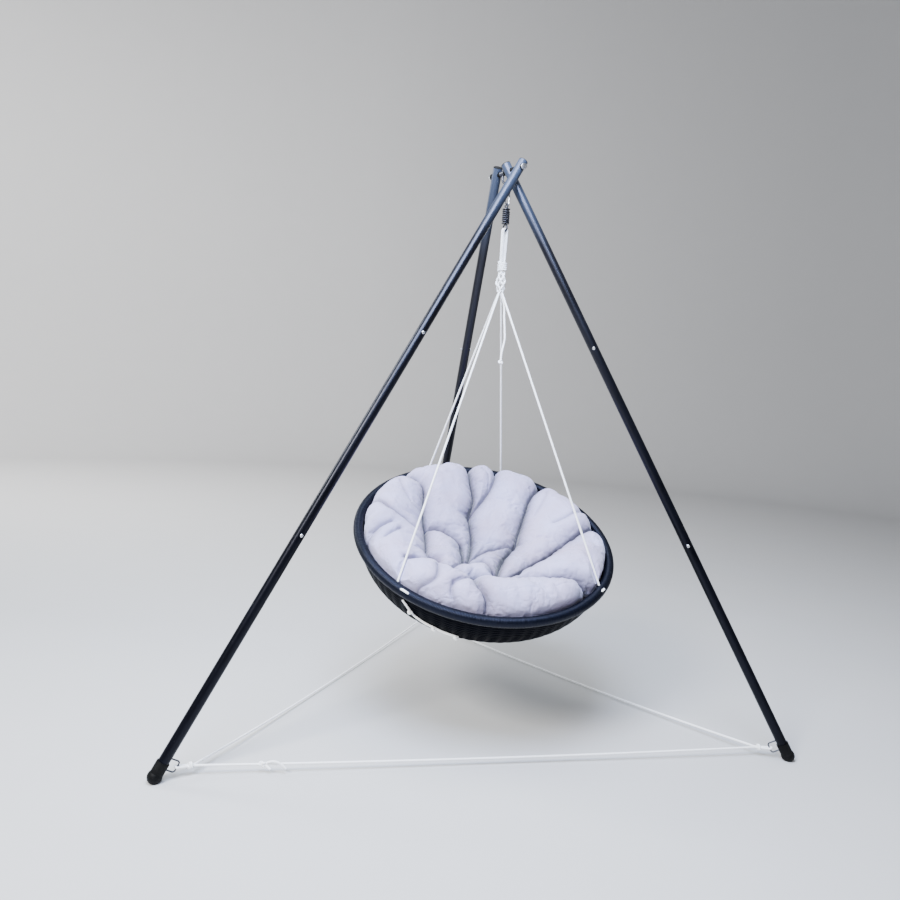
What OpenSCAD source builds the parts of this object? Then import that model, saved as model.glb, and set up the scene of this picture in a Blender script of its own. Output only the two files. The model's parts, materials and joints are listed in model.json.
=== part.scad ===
// Bowl-shaped hanging chair on a three-legged tube stand.
// Millimetres, +Z up. The origin is on the floor, in the middle of the object's outline seen
// from above.

/* [Stand] */
// Height of the bolt that joins the three legs
bolt_h = 2222; // [2180:1:2260]
// Distance of each front foot from the middle plane
foot_x = 1158; // [1130:1:1180]
// Distance of the front feet ahead of the swing's axis
foot_front = 472; // [450:1:490]
// Distance of the rear foot behind the swing's axis
foot_rear = 1327; // [1310:1:1345]
// Outer diameter of the leg tubes
tube_d = 38; // [37:0.5:39]
// Wall thickness of the leg tubes
tube_wall = 1.5; // [1.2:0.1:2]
// Length of the reduced end that slides into the next tube
spigot_len = 110; // [80:1:140]
// Angle of the joining bolt, seen from above
bolt_turn = 22; // [21:0.5:23]
// Diameter of the rubber ball of each foot
foot_d = 50; // [48:1:54]

/* [Bowl] */
// Radius of the rim, to the middle of its tube
rim_r = 512; // [505:1:518]
// Height of the rim's centre above the floor
rim_h = 758; // [740:1:780]
// Distance of the rim's centre ahead of the swing's axis
rim_front = 28.4; // [20:0.2:40]
// Forward tilt of the bowl
bowl_tilt = 25; // [20:1:28]
// Diameter of the steel tube inside the rim
rim_tube_d = 25; // [22:1:27]
// Diameter of the rim with its wound covering
rim_wrap_d = 39; // [38:0.5:40]
// Radius of the bowl's rounded side
side_r = 229; // [225:1:231]
// Thickness of the woven shell
shell_t = 4; // [3:0.5:4]
// Number of ribs under the cushion
rib_count = 12; // [8:1:16]
// Height of the cushion's puffed ring above the rim
cushion_crown = 74; // [60:1:80]

/* [Ropes] */
// Diameter of all ropes
rope_d = 8; // [7:0.5:8]
// Height of the rope around the feet above the floor, halfway between the front feet
front_rope_h = 26; // [20:1:34]
// Angle of the front ropes along the rim, from its front
front_rope_angle = 50; // [45:1:55]
// Angle of the back ropes along the rim, from its front
back_rope_angle = 160; // [155:1:165]

/* [Hidden] */

LEFT = 0;
RIGHT = 1;
REAR = 2;

tube_color = [0.10, 0.11, 0.14];
rubber_color = [0.06, 0.06, 0.07];
steel_color = [0.80, 0.81, 0.83];
dark_steel_color = [0.16, 0.17, 0.20];
rope_color = [0.93, 0.93, 0.91];
wicker_color = [0.09, 0.10, 0.13];
cushion_color = [0.72, 0.72, 0.78];

gap = 0.3;
rope_r = rope_d / 2;
tube_r = tube_d / 2;
tube_bore_r = tube_r - tube_wall;

// The swing's axis stands at x = 0, y = pivot_y, so that the outline is centred on the origin.
// The bowl reaches furthest to the front, and the rear foot to the back.
bowl_reach = rim_front + rim_r * cos(bowl_tilt) + rim_wrap_d / 2;
pivot_y = (bowl_reach - foot_rear - foot_d / 2) / 2;
foot_z = foot_d * 0.4;
pivot = [0, pivot_y, bolt_h];
bolt_dir = [-sin(bolt_turn), cos(bolt_turn), 0];

// Distance of each leg's axis from the swing's axis, measured along the bolt.
bolt_stations = [-65, 0, 82];
feet = [
    [-foot_x, pivot_y - foot_front, foot_z],
    [foot_x, pivot_y - foot_front, foot_z],
    [0, pivot_y + foot_rear, foot_z]
];
// Length of tube that shows in each of the three sections of a leg.
section_len = 854;
leg_past_bolt = 31;
cap_sleeve_len = 50;
cap_wall = 3.4;

function leg_vector(leg) = pivot + bolt_stations[leg] * bolt_dir - feet[leg];
function leg_azimuth(leg) = atan2(leg_vector(leg)[1], leg_vector(leg)[0]);
function leg_lean(leg) = acos(leg_vector(leg)[2] / norm(leg_vector(leg)));
function leg_top(leg) = norm(leg_vector(leg)) + leg_past_bolt;

// A point given in a leg's own frame: x inward and down, y sideways, z up along the tube.
function rot_y(v, a) = [v[0] * cos(a) + v[2] * sin(a), v[1], v[2] * cos(a) - v[0] * sin(a)];
function rot_z(v, a) = [v[0] * cos(a) - v[1] * sin(a), v[0] * sin(a) + v[1] * cos(a), v[2]];
function leg_point(leg, v) = feet[leg] + rot_z(rot_y(v, leg_lean(leg)), leg_azimuth(leg));

// Joint screws stand 40 above each seam, on the side of the leg that faces forward.
screw_above_seam = 40;
screw_side = [-1, 1, 1];
screw_r = 3;
screw_head_r = 6;
screw_head_h = 3.6;
nut_corner_r = 5.8;
nut_h = 5;

// Bent wire on the inner side of each foot, which the ground rope runs through.
bracket_wire_r = 2.6;
bracket_reach = 50;
bracket_low = 30;
bracket_high = 68;
bracket_bend_r = 8;
bracket_seat = 15.5;

apex_bolt_r = 6;
apex_washer_r = 12;
apex_washer_t = 2.5;
front_saddle_face = -90;
rear_saddle_face = 113;
apex_head_corner_r = 11;
apex_head_h = 7.5;
cap_nut_h = 9;
cap_nut_dome_r = 9;

// The hanger: a sleeve on the bolt, a rod bent back under the right leg, and an eye.
sleeve_start = 27;
sleeve_len = 24;
sleeve_r = 11;
sleeve_middle = sleeve_start + sleeve_len / 2;
hanger_rod_r = 4.5;
hanger_bend_r = 18;
hanger_bend_angle = 60;
hanger_bend_top = bolt_h - 22;
hanger_run = (sleeve_middle - 2 * hanger_bend_r * (1 - cos(hanger_bend_angle)))
    / sin(hanger_bend_angle);
eye_r = 12;
eye_wire_r = 4.2;
eye_z = bolt_h - 82;

carabiner_wire_r = 3;
carabiner_arc_r = 11;
carabiner_top_z = eye_z - eye_r + eye_wire_r + carabiner_wire_r + gap;
carabiner_upper_z = carabiner_top_z - carabiner_arc_r;
carabiner_lower_z = carabiner_upper_z - 24;
gate_pivot_z = carabiner_lower_z + 2;
gate_r = 2.6;
gate_gap = 0.4;
gate_pin_r = 1.25;
gate_boss_r = 4;
gate_boss_half = 4.5;
gate_tongue_half = 2;

spring_eye_r = 9;
spring_eye_wire_r = 3;
spring_eye_z = carabiner_lower_z - carabiner_arc_r + carabiner_wire_r + spring_eye_wire_r + gap
    - spring_eye_r;
spring_flange_r = 15.8;
spring_flange_t = 3.3;
spring_flange_z = spring_eye_z - spring_eye_r - spring_eye_wire_r - spring_flange_t + 0.2;
spring_plug_r = 9.3;
spring_plug_len = 14;
coil_r = 12.7;
coil_wire_r = 3.1;
coil_turns = 6;
coil_pitch = 7.6;
coil_top_z = spring_flange_z - coil_wire_r - 0.2;
coil_bottom_z = coil_top_z - coil_turns * coil_pitch;
socket_top_z = coil_bottom_z - coil_wire_r - gap;
swivel_head_r = 6;
swivel_head_h = 4;
swivel_shank_r = 3;
swivel_head_z = socket_top_z + 4.5;
hook_ring_r = 12.8;
hook_wire_r = 3.2;
hook_z = socket_top_z - spring_flange_t - 3.4 - hook_ring_r;

// Two ropes lie side by side over the hook and run down, doubled, into the gathering knot.
loop_bend_r = 9;
loop_side = rope_r + 0.15;
loop_top_z = hook_z - 3.3;
loop_bend_z = loop_top_z - loop_bend_r;
knot_top_z = 1865;
knot_h = 36;
knot_r = 15;
knot_wrap_r = 4.5;
braid_h = 79;
braid_z = knot_top_z - knot_h - braid_h;
braid_r = 14;

// Ring points along a tube, and the tube itself as one closed solid.
function unit(v) = v / norm(v);
function tangent(path, i) = unit(path[min(i + 1, len(path) - 1)] - path[max(i - 1, 0)]);
function ring(center, along, side, r, sides) =
    let (u = unit(cross(along, side)), v = cross(u, along))
    [for (k = [0:sides - 1]) center + r * (cos(360 * k / sides) * u + sin(360 * k / sides) * v)];

// Extra points on a smooth curve through a route, count of them per step.
function smooth_between(a, b, c, d, t) =
    0.5 * (2 * b + (c - a) * t + (2 * a - 5 * b + 4 * c - d) * t * t
        + (3 * b - a - 3 * c + d) * t * t * t);
function smooth(route, count) =
    let (last = len(route) - 1)
    [
        for (i = [0:last - 1], k = [0:count - 1])
            smooth_between(route[max(i - 1, 0)], route[i], route[i + 1],
                route[min(i + 2, last)], k / count),
        route[last]
    ];

module swept_tube(path, r, side, sides = 8) {
    last = len(path) - 1;
    points = [for (i = [0:last]) each ring(path[i], tangent(path, i), side, r, sides)];
    walls = [
        for (i = [0:last - 1], k = [0:sides - 1])
            let (next = (k + 1) % sides)
            [i * sides + k, i * sides + next, (i + 1) * sides + next, (i + 1) * sides + k]
    ];
    start_cap = [for (k = [sides - 1:-1:0]) k];
    end_cap = [for (k = [0:sides - 1]) last * sides + k];
    polyhedron(points = points, faces = concat([start_cap], walls, [end_cap]), convexity = 8);
}

// Frames: along a leg, around the swing's axis (x across, y along the bolt), along the bolt
// itself, and the tilted bowl.
module in_leg(leg) {
    translate(feet[leg]) rotate([0, leg_lean(leg), leg_azimuth(leg)]) children();
}

module in_swing() {
    translate([0, pivot_y, 0]) rotate([0, 0, bolt_turn]) children();
}

module on_bolt(station) {
    translate(pivot) rotate([0, 0, bolt_turn]) rotate([-90, 0, 0]) translate([0, 0, station])
        children();
}

module in_bowl() {
    translate([0, pivot_y - rim_front, rim_h]) rotate([bowl_tilt, 0, 0]) children();
}

// ---- Legs ----

module leg_tube(leg, low, high, spigot) {
    full_bore_top = spigot ? high - 20 : high + 1;
    difference() {
        union() {
            translate([0, 0, low]) cylinder(h = high - low, r = tube_r, $fn = 96);
            if (spigot)
                translate([0, 0, high - 1])
                    cylinder(h = spigot_len + 1, r = tube_bore_r - 0.2, $fn = 96);
        }
        translate([0, 0, low - 1])
            cylinder(h = full_bore_top - low + 1, r = tube_bore_r, $fn = 96);
        if (spigot)
            translate([0, 0, high - 30])
                cylinder(h = spigot_len + 40, r = tube_bore_r - 0.2 - tube_wall, $fn = 96);
        for (seam = [section_len, 2 * section_len])
            translate([0, 0, seam + screw_above_seam])
                rotate([90, 0, 0])
                    cylinder(h = 3 * tube_r, r = screw_r + 0.25, center = true, $fn = 32);
    }
}

module lower_tube(leg) {
    color(tube_color) in_leg(leg) difference() {
        leg_tube(leg, foot_z * 0.3, section_len, true);
        for (s = [bracket_low, bracket_high])
            translate([0, 0, s])
                rotate([0, 90, 0])
                    cylinder(h = 2 * tube_r, r = bracket_wire_r + 0.1, $fn = 32);
    }
}

module middle_tube(leg) {
    color(tube_color) in_leg(leg) leg_tube(leg, section_len, 2 * section_len, true);
}

module upper_tube(leg) {
    color(tube_color) difference() {
        in_leg(leg) leg_tube(leg, 2 * section_len, leg_top(leg), false);
        on_bolt(bolt_stations[leg])
            cylinder(h = 4 * tube_r, r = apex_bolt_r + 0.3, center = true, $fn = 48);
    }
}

module foot_cap(leg) {
    color(rubber_color) difference() {
        in_leg(leg) difference() {
            union() {
                sphere(d = foot_d, $fn = 96);
                cylinder(h = cap_sleeve_len, r = tube_r + cap_wall, $fn = 96);
            }
            translate([0, 0, foot_z * 0.3])
                cylinder(h = cap_sleeve_len, r = tube_r + 0.05, $fn = 96);
            translate([0, 0, bracket_low])
                rotate([0, 90, 0])
                    cylinder(h = 2 * tube_r, r = bracket_wire_r + 0.1, $fn = 32);
        }
        translate([feet[leg][0], feet[leg][1], -foot_d / 2])
            cube([2 * foot_d, 2 * foot_d, foot_d], center = true);
    }
}

module top_plug(leg) {
    insert_r = tube_bore_r - 0.1;
    color(rubber_color) in_leg(leg) translate([0, 0, leg_top(leg)]) {
        translate([0, 0, -12]) cylinder(h = 12, r = insert_r, $fn = 96);
        cylinder(h = 2, r = tube_r, $fn = 96);
        translate([0, 0, 2]) cylinder(h = 1.6, r1 = tube_r, r2 = tube_r - 3, $fn = 96);
    }
}

module bracket_corner() {
    rotate([90, 0, 0])
        rotate_extrude(angle = 90, $fn = 64)
            translate([bracket_bend_r, 0])
                circle(r = bracket_wire_r, $fn = 24);
}

module rope_bracket(leg) {
    arm_len = bracket_reach - bracket_bend_r - bracket_seat;
    bar_len = bracket_high - bracket_low - 2 * bracket_bend_r;
    color(dark_steel_color) in_leg(leg) {
        for (s = [bracket_low, bracket_high])
            translate([bracket_seat, 0, s])
                rotate([0, 90, 0])
                    cylinder(h = arm_len, r = bracket_wire_r, $fn = 24);
        translate([bracket_reach, 0, bracket_low + bracket_bend_r])
            cylinder(h = bar_len, r = bracket_wire_r, $fn = 24);
        translate([bracket_reach - bracket_bend_r, 0, bracket_high - bracket_bend_r])
            bracket_corner();
        translate([bracket_reach - bracket_bend_r, 0, bracket_low + bracket_bend_r])
            mirror([0, 0, 1]) bracket_corner();
    }
}

// Places its children at each of the six leg joints, with +Z out of the leg.
module at_leg_joints() {
    for (leg = [LEFT, RIGHT, REAR], seam = [section_len, 2 * section_len])
        in_leg(leg)
            translate([0, 0, seam + screw_above_seam])
                rotate([-90 * screw_side[leg], 0, 0])
                    children();
}

module leg_joint_screws() {
    color(steel_color) at_leg_joints() {
        translate([0, 0, -tube_r - nut_h - 2])
            cylinder(h = 2 * tube_r + nut_h + 2.1, r = screw_r, $fn = 32);
        translate([0, 0, tube_r + 0.05]) cylinder(h = 2, r = screw_head_r, $fn = 48);
        translate([0, 0, tube_r + 2.05])
            cylinder(h = screw_head_h - 2, r1 = screw_head_r, r2 = screw_head_r - 2, $fn = 48);
    }
}

module leg_joint_nuts() {
    color(steel_color) at_leg_joints()
        translate([0, 0, -tube_r - 0.1 - nut_h])
            difference() {
                cylinder(h = nut_h, r = nut_corner_r, $fn = 6);
                translate([0, 0, -1]) cylinder(h = nut_h + 2, r = screw_r + 0.02, $fn = 32);
            }
}

// ---- Joint at the top of the legs ----

module apex_bolt() {
    tip = rear_saddle_face + apex_washer_t + cap_nut_h;
    head_face = front_saddle_face - apex_washer_t - 0.1;
    color(steel_color) {
        on_bolt(head_face) cylinder(h = tip - head_face, r = apex_bolt_r, $fn = 64);
        on_bolt(head_face - apex_head_h)
            cylinder(h = apex_head_h, r = apex_head_corner_r, $fn = 6);
    }
}

module apex_cap_nut() {
    color(steel_color) on_bolt(rear_saddle_face + apex_washer_t + 0.2) difference() {
        union() {
            cylinder(h = cap_nut_h, r = apex_head_corner_r, $fn = 6);
            translate([0, 0, cap_nut_h - 2]) sphere(r = cap_nut_dome_r, $fn = 64);
        }
        translate([0, 0, -cap_nut_h]) cylinder(h = cap_nut_h, r = 2 * apex_head_corner_r);
        translate([0, 0, -1])
            cylinder(h = cap_nut_h + 1, r = apex_bolt_r + 0.02, $fn = 64);
    }
}

module apex_washers() {
    color(steel_color)
        for (face = [front_saddle_face - apex_washer_t - 0.05, rear_saddle_face + 0.1])
            on_bolt(face) difference() {
                cylinder(h = apex_washer_t, r = apex_washer_r, $fn = 64);
                translate([0, 0, -1])
                    cylinder(h = apex_washer_t + 2, r = apex_bolt_r + 0.1, $fn = 64);
            }
}

// Short tubes on the bolt, with ends shaped to fit the leg tubes.
module saddle_spacer(from, to, r) {
    difference() {
        on_bolt(from) cylinder(h = to - from, r = r, $fn = 64);
        on_bolt(from - 1) cylinder(h = to - from + 2, r = apex_bolt_r + 0.1, $fn = 64);
        for (leg = [LEFT, RIGHT, REAR])
            in_leg(leg)
                translate([0, 0, 2 * section_len])
                    cylinder(h = section_len, r = tube_r + 0.2, $fn = 96);
    }
}

module apex_saddle_spacers() {
    color(rubber_color) {
        saddle_spacer(front_saddle_face, -70, apex_washer_r);
        saddle_spacer(-54, -12, sleeve_r);
        saddle_spacer(12, sleeve_start - gap, sleeve_r);
        saddle_spacer(sleeve_start + sleeve_len + gap, 70, sleeve_r);
        saddle_spacer(94, rear_saddle_face, apex_washer_r + 1);
    }
}

// ---- Rope around the feet ----

// The rope turns around each bracket's bar. Its two strands then run side by side to a
// seizing, and part there towards the other two feet.
bracket_mid = (bracket_low + bracket_high) / 2;
rope_bend_r = bracket_wire_r + rope_r + gap;
bight_len = 46;
bight_drop = 3;
strand_side = rope_r + 0.1;
seizing_len = 10;

function inward(leg) = [cos(leg_azimuth(leg)), sin(leg_azimuth(leg)), 0];
function sideways(leg) = [-sin(leg_azimuth(leg)), cos(leg_azimuth(leg)), 0];
function bracket_turn(leg, a) =
    leg_point(leg, [bracket_reach - rope_bend_r * cos(a), rope_bend_r * sin(a), bracket_mid]);
function bight_point(leg, side, t) =
    bracket_turn(leg, side * 90) * (1 - t)
    + t * (leg_point(leg, [bracket_reach, 0, bracket_mid]) + bight_len * inward(leg)
        + side * strand_side * sideways(leg) - [0, 0, bight_drop]);
function bight_half(leg, side) =
    [
        for (a = [22.5:22.5:90]) bracket_turn(leg, side * a),
        for (t = [0.25, 0.5, 0.75, 1]) bight_point(leg, side, t)
    ];
function bight(leg) =
    let (left_half = bight_half(leg, -1), right_half = bight_half(leg, 1))
    concat([for (i = [7:-1:0]) left_half[i]], [bracket_turn(leg, 0)], right_half);

// One stretch runs from seizing to seizing; it sags by a parabola, and drop lowers its middle.
function stretch(from, from_side, to, to_side, drop) =
    let (
        start = bight_point(from, from_side, 1),
        start_ahead = bight_point(from, from_side, 1.2),
        finish = bight_point(to, to_side, 1),
        finish_ahead = bight_point(to, to_side, 1.2),
        a = start_ahead + (finish_ahead - start_ahead) * 0.006,
        b = finish_ahead + (start_ahead - finish_ahead) * 0.006
    )
    concat(
        [start, start_ahead],
        [for (t = [0.01, 0.05, 0.1, 0.22, 0.36, 0.5, 0.64, 0.78, 0.88, 0.95, 0.99])
            a * (1 - t) + b * t - [0, 0, 4 * drop * t * (1 - t)]],
        [finish_ahead, finish]
    );

seizing_z = bight_point(LEFT, 1, 1)[2];
front_drop = seizing_z - front_rope_h;
side_drop = seizing_z - rope_r - 8;
front_route = stretch(LEFT, -1, RIGHT, 1, front_drop);
left_route = stretch(REAR, -1, LEFT, 1, side_drop);
right_route = stretch(RIGHT, -1, REAR, 1, side_drop);
ground_knot_at = front_route[4];
ground_knot_r = 12;
long_tail_route = [[11, 0, 2], [22, -4, 8], [36, -8, 12], [52, -11, 9], [66, -13, 0],
    [78, -14, -12]];
short_tail_route = [[10, 0, -3], [18, -5, -8], [28, -10, -14]];

module rope_bights() {
    color(rope_color)
        for (leg = [LEFT, RIGHT, REAR]) {
            swept_tube(bight(leg), rope_r, [0, 0, 1]);
            translate((bight_point(leg, 1, 0.9) + bight_point(leg, -1, 0.9)) / 2)
                rotate([0, 90, leg_azimuth(leg)])
                    cylinder(h = seizing_len, r = 2 * rope_r + 3, center = true, $fn = 48);
        }
}

module ground_rope_front() {
    color(rope_color) swept_tube(front_route, rope_r, [0, 0, 1]);
}

module ground_rope_left() {
    color(rope_color) swept_tube(left_route, rope_r, [0, 0, 1]);
}

module ground_rope_right() {
    color(rope_color) swept_tube(right_route, rope_r, [0, 0, 1]);
}

module ground_rope_knot() {
    color(rope_color) translate(ground_knot_at) sphere(r = ground_knot_r, $fn = 48);
}

module ground_rope_long_tail() {
    color(rope_color)
        swept_tube([for (p = smooth(long_tail_route, 2)) ground_knot_at + p], rope_r, [0, 0, 1]);
}

module ground_rope_short_tail() {
    color(rope_color)
        swept_tube([for (p = smooth(short_tail_route, 2)) ground_knot_at + p], rope_r, [0, 0, 1]);
}

// ---- Hanger, carabiner and spring ----

// A bent piece of round rod in the plane of the bolt and the vertical.
module rod_bend(center_y, center_z, bend_r, from, to, r) {
    translate([0, center_y, center_z])
        rotate([90, 0, 90])
            rotate([0, 0, from])
                rotate_extrude(angle = to - from, $fn = 96)
                    translate([bend_r, 0])
                        circle(r = r, $fn = 32);
}

module rod_ring(center_z, ring_r, wire_r) {
    rod_bend(0, center_z, ring_r, 0, 360, wire_r);
}

// A weld bead around the rod where two of its pieces meet.
module weld_bead(r) {
    cylinder(h = 2, r = r + 0.4, center = true, $fn = 32);
}

module swing_hanger() {
    a = hanger_bend_angle;
    run_y = hanger_bend_r * (1 - cos(a));
    lower_z = hanger_bend_top - 2 * hanger_bend_r * sin(a) - hanger_run * cos(a);
    color(dark_steel_color) difference() {
        union() {
            on_bolt(sleeve_start) cylinder(h = sleeve_len, r = sleeve_r, $fn = 64);
            in_swing() {
                translate([0, sleeve_middle, hanger_bend_top]) {
                    cylinder(h = bolt_h - hanger_bend_top - 2, r = hanger_rod_r, $fn = 32);
                    weld_bead(hanger_rod_r);
                }
                rod_bend(sleeve_middle - hanger_bend_r, hanger_bend_top, hanger_bend_r, -a, 0,
                    hanger_rod_r);
                translate([0, run_y, lower_z + hanger_bend_r * sin(a)])
                    rotate([-a, 0, 0]) {
                        cylinder(h = hanger_run, r = hanger_rod_r, $fn = 32);
                        weld_bead(hanger_rod_r);
                        translate([0, 0, hanger_run]) weld_bead(hanger_rod_r);
                    }
                rod_bend(hanger_bend_r, lower_z, hanger_bend_r, 180 - a, 180, hanger_rod_r);
                translate([0, 0, eye_z + eye_r])
                    cylinder(h = lower_z - eye_z - eye_r, r = hanger_rod_r, $fn = 32);
                translate([0, 0, lower_z]) weld_bead(hanger_rod_r);
                rod_ring(eye_z, eye_r, eye_wire_r);
            }
        }
        on_bolt(0) cylinder(h = 80, r = apex_bolt_r + 0.06, $fn = 64);
    }
}

module carabiner_arc(center_z, turn) {
    translate([0, 0, center_z])
        rotate([90, 0, 0])
            rotate([0, 0, turn])
                rotate_extrude(angle = 180, $fn = 96)
                    translate([carabiner_arc_r, 0])
                        circle(r = carabiner_wire_r, $fn = 32);
}

module gate_axle(r, half) {
    translate([-carabiner_arc_r, 0, gate_pivot_z])
        rotate([90, 0, 0])
            cylinder(h = 2 * half, r = r, center = true, $fn = 32);
}

module carabiner_body() {
    color(steel_color) in_swing() difference() {
        union() {
            carabiner_arc(carabiner_upper_z, 0);
            carabiner_arc(carabiner_lower_z, 180);
            translate([carabiner_arc_r, 0, carabiner_lower_z])
                cylinder(h = carabiner_upper_z - carabiner_lower_z, r = carabiner_wire_r,
                    $fn = 32);
            gate_axle(gate_boss_r, gate_boss_half);
        }
        gate_axle(gate_pin_r + 0.05, gate_boss_half + 1);
        translate([-carabiner_arc_r, 0, gate_pivot_z + 1])
            cube([12, 2 * gate_tongue_half + 0.4, 2 * gate_boss_r + 2], center = true);
    }
}

module carabiner_gate() {
    neck = gate_boss_r + 1.2;
    top = carabiner_upper_z - gate_gap;
    color(steel_color) in_swing() difference() {
        union() {
            gate_axle(gate_boss_r - 0.8, gate_tongue_half);
            translate([-carabiner_arc_r, 0, gate_pivot_z + neck / 2])
                cube([4.4, 2 * gate_tongue_half, neck], center = true);
            translate([-carabiner_arc_r, 0, gate_pivot_z + neck])
                cylinder(h = top - gate_pivot_z - neck, r = gate_r, $fn = 32);
        }
        gate_axle(gate_pin_r + 0.05, gate_boss_half);
    }
}

module carabiner_pin() {
    color(dark_steel_color) in_swing() gate_axle(gate_pin_r, gate_boss_half);
}

module spring_upper_eye() {
    color(dark_steel_color) in_swing() {
        rod_ring(spring_eye_z, spring_eye_r, spring_eye_wire_r);
        translate([0, 0, spring_flange_z])
            cylinder(h = spring_flange_t, r = spring_flange_r, $fn = 64);
        translate([0, 0, spring_flange_z - spring_plug_len])
            cylinder(h = spring_plug_len + 1, r = spring_plug_r, $fn = 64);
    }
}

module suspension_spring() {
    steps = 16;
    path = [
        for (i = [0:coil_turns * steps])
            [coil_r * cos(360 * i / steps), coil_r * sin(360 * i / steps),
                coil_top_z - coil_pitch * i / steps]
    ];
    color(dark_steel_color) in_swing()
        swept_tube(path, coil_wire_r, [0, 0, 1], sides = 10);
}

module spring_lower_socket() {
    color(dark_steel_color) in_swing() difference() {
        union() {
            translate([0, 0, socket_top_z - spring_flange_t])
                cylinder(h = spring_flange_t, r = spring_flange_r, $fn = 64);
            translate([0, 0, socket_top_z - 1])
                cylinder(h = spring_plug_len + 1, r = spring_plug_r, $fn = 64);
        }
        translate([0, 0, swivel_head_z - 0.15])
            cylinder(h = swivel_head_h + 0.3, r = swivel_head_r + 0.2, $fn = 64);
        translate([0, 0, socket_top_z - spring_flange_t - 1])
            cylinder(h = 12, r = swivel_shank_r + 0.05, $fn = 64);
    }
}

module swivel_hook() {
    shank_z = hook_z + hook_ring_r;
    color(dark_steel_color) in_swing() {
        rod_ring(hook_z, hook_ring_r, hook_wire_r);
        translate([0, 0, shank_z])
            cylinder(h = swivel_head_z - shank_z + 1, r = swivel_shank_r, $fn = 64);
        translate([0, 0, swivel_head_z])
            cylinder(h = swivel_head_h, r = swivel_head_r, $fn = 64);
    }
}

// ---- Ropes that carry the bowl ----

module rope_loops() {
    foot_gap = 7;
    half = concat(
        [for (a = [0:22.5:90]) [loop_bend_r * sin(a), loop_bend_z + loop_bend_r * cos(a)]],
        [for (t = [0.25, 0.5, 0.75, 1])
            [loop_bend_r + (foot_gap - loop_bend_r) * t,
                loop_bend_z + (knot_top_z - loop_bend_z) * t]]
    );
    last = len(half) - 1;
    color(rope_color) in_swing()
        for (side = [-1, 1]) {
            path = concat(
                [for (i = [last:-1:1]) [-half[i][0], side * loop_side, half[i][1]]],
                [for (i = [0:last]) [half[i][0], side * loop_side, half[i][1]]]
            );
            swept_tube(path, rope_r, [0, 1, 0]);
        }
}

module gathering_knot() {
    color(rope_color) translate([0, pivot_y, knot_top_z - knot_h])
        rotate_extrude($fn = 64) {
            square([knot_r, knot_h]);
            for (i = [0:3])
                translate([knot_r - 0.5, knot_wrap_r + i * (knot_h - 2 * knot_wrap_r) / 3])
                    circle(r = knot_wrap_r, $fn = 32);
        }
}

module rope_braid() {
    color(rope_color) translate([0, pivot_y, braid_z])
        cylinder(h = braid_h, r1 = braid_r - 2, r2 = braid_r, $fn = 64);
}

function rim_point(angle) =
    [0, pivot_y - rim_front, rim_h]
    + rim_r * [sin(angle), -cos(angle) * cos(bowl_tilt), -cos(angle) * sin(bowl_tilt)];

rope_end_offset = rim_wrap_d / 2 - 2;

module suspension_rope(angle, start_x, start_y) {
    start = [start_x, pivot_y + start_y, braid_z];
    below = start - [0, 0, 8];
    target = rim_point(angle);
    end = target + rope_end_offset * unit(below - target);
    color(rope_color)
        swept_tube(concat([start], [for (t = [0, 0.03, 0.1, 0.3, 0.5, 0.7, 0.9, 1])
            below * (1 - t) + end * t]), rope_r, [0, 1, 0]);
}

module front_left_rope() {
    suspension_rope(-front_rope_angle, -6, -6);
}

module front_right_rope() {
    suspension_rope(front_rope_angle, 6, -6);
}

module back_left_rope() {
    suspension_rope(-back_rope_angle, -6, 6);
}

module back_right_rope() {
    suspension_rope(back_rope_angle, 6, 6);
}

// The free end of the rope hangs beside the others and ends in a knot.
tail_route = [[0, 0, 1750], [1, 0, 1740], [6, 1, 1730], [13, 1, 1718], [19, 0, 1700],
    [22, -2, 1675], [23, -3, 1650], [28, -5, 1600], [31, -6, 1560], [27, -6, 1530],
    [22, -6, 1500], [21, -6, 1476]];
tail_knot_r = 10;

module hanging_tail() {
    color(rope_color)
        swept_tube([for (p = tail_route) p + [0, pivot_y, 0]], rope_r, [0, 1, 0]);
}

module hanging_tail_knot() {
    end = tail_route[len(tail_route) - 1] + [0, pivot_y, 0];
    color(rope_color) difference() {
        translate(end - [0, 0, tail_knot_r - 1]) sphere(r = tail_knot_r, $fn = 48);
        translate(end + [0, 0, 10]) cube(20, center = true);
    }
}

// ---- Bowl ----

module ring_about_z(major, minor, fn = 192) {
    rotate_extrude($fn = fn) translate([major, 0]) circle(r = minor, $fn = 32);
}

module rim_tube() {
    color(dark_steel_color) in_bowl()
        rotate_extrude($fn = 192)
            translate([rim_r, 0])
                difference() {
                    circle(d = rim_tube_d, $fn = 48);
                    circle(d = rim_tube_d - 2 * tube_wall, $fn = 48);
                }
}

module rim_wrap() {
    color(wicker_color) in_bowl()
        rotate_extrude($fn = 192)
            translate([rim_r, 0])
                difference() {
                    circle(d = rim_wrap_d, $fn = 48);
                    circle(d = rim_tube_d + 0.1, $fn = 48);
                }
}

// Where a suspension rope enters the rim's covering, a stitch of the same rope shows beside it.
// Each entry holds the angle along the rim where the stitch starts and its span.
stitches = [[-46.5, 3.7], [47.5, 1.9], [-157.5, 1.9], [157.5, 1.9]];
stitch_around = 35;

function on_rim(along, around, rise) =
    let (out = rim_r + (rim_wrap_d / 2 + rise) * sin(around))
    [out * sin(along), -out * cos(along), (rim_wrap_d / 2 + rise) * cos(around)];

module rim_stitches() {
    color(rope_color) in_bowl()
        for (s = stitches) {
            path = [
                for (t = [-1:0.25:1])
                    on_rim(s[0] + s[1] * (t + 1) / 2, stitch_around, 4 - 7 * pow(abs(t), 3))
            ];
            swept_tube(path, rope_r, [0, 0, 1]);
        }
}

// The bowl's section is a rounded side of radius side_r and a nearly flat floor.
floor_r = 277;
side_start = 6;
rib_r = 4;
rib_side_r = side_r - shell_t / 2 - rib_r - gap;
hub_r = 60;
base_ring_r = 262;
base_ring_wire_r = 11;

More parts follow.
